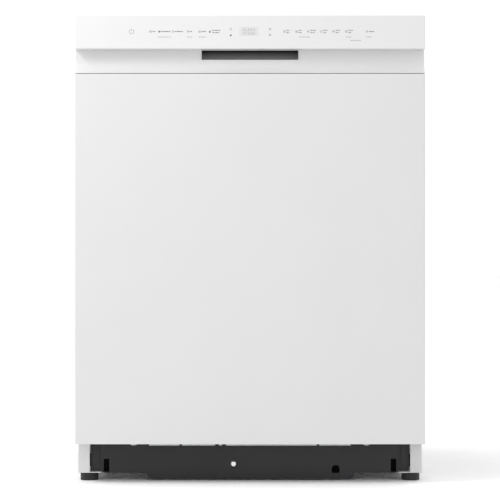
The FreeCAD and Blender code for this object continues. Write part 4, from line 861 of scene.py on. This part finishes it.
def make_fascia_marks():
    """Power ring, keys with captions, group captions and the display's figures."""
    row = top / MM - 28.0       # height of the row of keys
    low_row = row - 9.5         # height of the group captions
    icon_width = 6.0            # room for a pictogram before its caption
    grey, faint = Marks(), Marks()
    grey.ring(-205.0, row, 4.1, 0.55, -240, 60, 32)
    grey.bar(-205.3, -204.7, row + 1.2, row + 5.0)
    # middle, width and pictogram of each key
    keys = [(-168.8, 11.0, "plate"), (-148.5, 21.0, "pot"), (-126.0, 19.5, "drop"), (-104.3, 9.7, "waves"),
            (-82.6, 13.0, "rack"), (-61.2, 21.0, "lock"), (63.3, 11.7, "clock"), (84.5, 11.8, "rack"),
            (106.0, 14.8, "waves"), (127.5, 13.3, "drop"), (149.2, 13.3, "waves"), (170.9, 13.3, "clock"),
            (207.2, 14.0, "play")]
    for x, width, kind in keys:
        caption = width - icon_width
        two_rows = 50 < x < 200 or kind == "lock"
        start = x - width / 2
        draw_icon(grey, kind, start + 2.2, row)
        if two_rows:
            grey.dashes(start + icon_width + caption / 2, row + 2.0, caption, 1.3)
            grey.dashes(start + icon_width + caption / 2 - 0.6, row - 2.0, caption * 0.8, 1.3)
        else:
            grey.dashes(start + icon_width + caption / 2, row, caption, 1.5)
    for x, width, dz in ((-148.5, 22.0, 0), (-104.3, 9.0, 0), (-82.5, 12.0, 0), (94.8, 19.0, 0),
                         (170.9, 9.0, 0), (183.4, 19.0, -6.0), (206.2, 10.0, 0)):
        faint.dashes(x, low_row + dz, width, 1.1)
    for x, kinds in ((-33.3, ("drop", "lock")), (34.5, ("clock", "waves"))):
        draw_icon(grey, kinds[0], x, row + 4.0)
        draw_icon(grey, kinds[1], x, row - 6.0)
    grey.write("fascia_marks", print_grey)
    digits(faint, -12.0, row)
    faint.write("fascia_faint_marks", print_faint)


def digits(marks, x, z):
    """Unlit display figures, 0:00, from six bars each."""
    wide, tall, line = 4.4, 8.6, 0.55
    for place in (x, x + 9.0, x + 15.6):
        for dx0, dz0, dx1, dz1 in ((0, tall, wide, tall), (0, 0, wide, 0), (0, 0.4, 0, tall / 2 - 0.4),
                                   (0, tall / 2 + 0.4, 0, tall - 0.4), (wide, 0.4, wide, tall / 2 - 0.4),
                                   (wide, tall / 2 + 0.4, wide, tall - 0.4)):
            marks.line(place + dx0, z - tall / 2 + dz0, place + dx1, z - tall / 2 + dz1, line)
    for dz in (-1.6, 1.6):
        marks.disc(x + 6.7, z + dz, 0.5)


# ------------------------------------------------------------ studio
def make_studio():
    """Plain pale floor, bright white surroundings and three soft lamps."""
    floor = bpy.data.materials.new("studio_floor")
    floor.use_nodes = True
    shader = floor.node_tree.nodes["Principled BSDF"]
    shader.inputs["Base Color"].default_value = (1.0, 1.0, 1.0, 1)
    shader.inputs["Roughness"].default_value = 0.9
    mesh = bpy.data.meshes.new("studio_floor")
    reach = 30.0
    mesh.from_pydata([(-reach, -reach, 0), (reach, -reach, 0), (reach, reach, 0), (-reach, reach, 0)],
                     [], [(0, 1, 2, 3)])
    mesh.materials.append(floor)
    ground = bpy.data.objects.new("studio_floor", mesh)
    bpy.context.scene.collection.objects.link(ground)
    world = bpy.data.worlds.new("studio_world")
    world.use_nodes = True
    sky = world.node_tree.nodes["Background"]
    sky.inputs["Color"].default_value = (1.0, 1.0, 1.0, 1)
    sky.inputs["Strength"].default_value = 1.03
    bpy.context.scene.world = world
    lamp("key_light", (-1.0, -1.0, 1.45), (-0.3, -0.3, 0.5), 0.5, 9.0)
    lamp("top_light", (-0.3, -1.0, 2.5), (0, -0.3, 0.4), 1.2, 4.0)
    lamp("back_light", (1.2, 2.4, 2.0), (0, 0, 0.4), 1.4, 12.0)


def lamp(name, place, target, size, power):
    light = bpy.data.lights.new(name, "AREA")
    light.shape = "SQUARE"
    light.size = size
    light.energy = power
    made = bpy.data.objects.new(name, light)
    made.location = place
    made.rotation_euler = (Vector(target) - Vector(place)).to_track_quat("-Z", "Y").to_euler()
    bpy.context.scene.collection.objects.link(made)


def make_camera():
    """Level camera, in front of the middle of the object."""
    distance = 3.3
    seen = 0.865                # width in view at the door's face
    lens = bpy.data.cameras.new("camera")
    lens.sensor_width = 36.0
    lens.lens = lens.sensor_width * distance / seen
    lens.clip_end = 60.0
    made = bpy.data.objects.new("camera", lens)
    made.location = (0, front - distance, (cad_high.z + cad_low.z) / 2)
    made.rotation_euler = (math.pi / 2, 0, 0)
    bpy.context.scene.collection.objects.link(made)
    bpy.context.scene.camera = made


dress_cad_nodes()
paint_pocket_shade()
make_lower_rack()
make_fold_tines()
make_upper_rack()
make_cup_shelf()
make_blanket()
make_gasket()
make_bottom_seal()
make_toe_slot_shade_plates()
make_balance()
make_fascia_marks()
make_studio()
make_camera()
bpy.context.scene.view_settings.view_transform = "Standard"
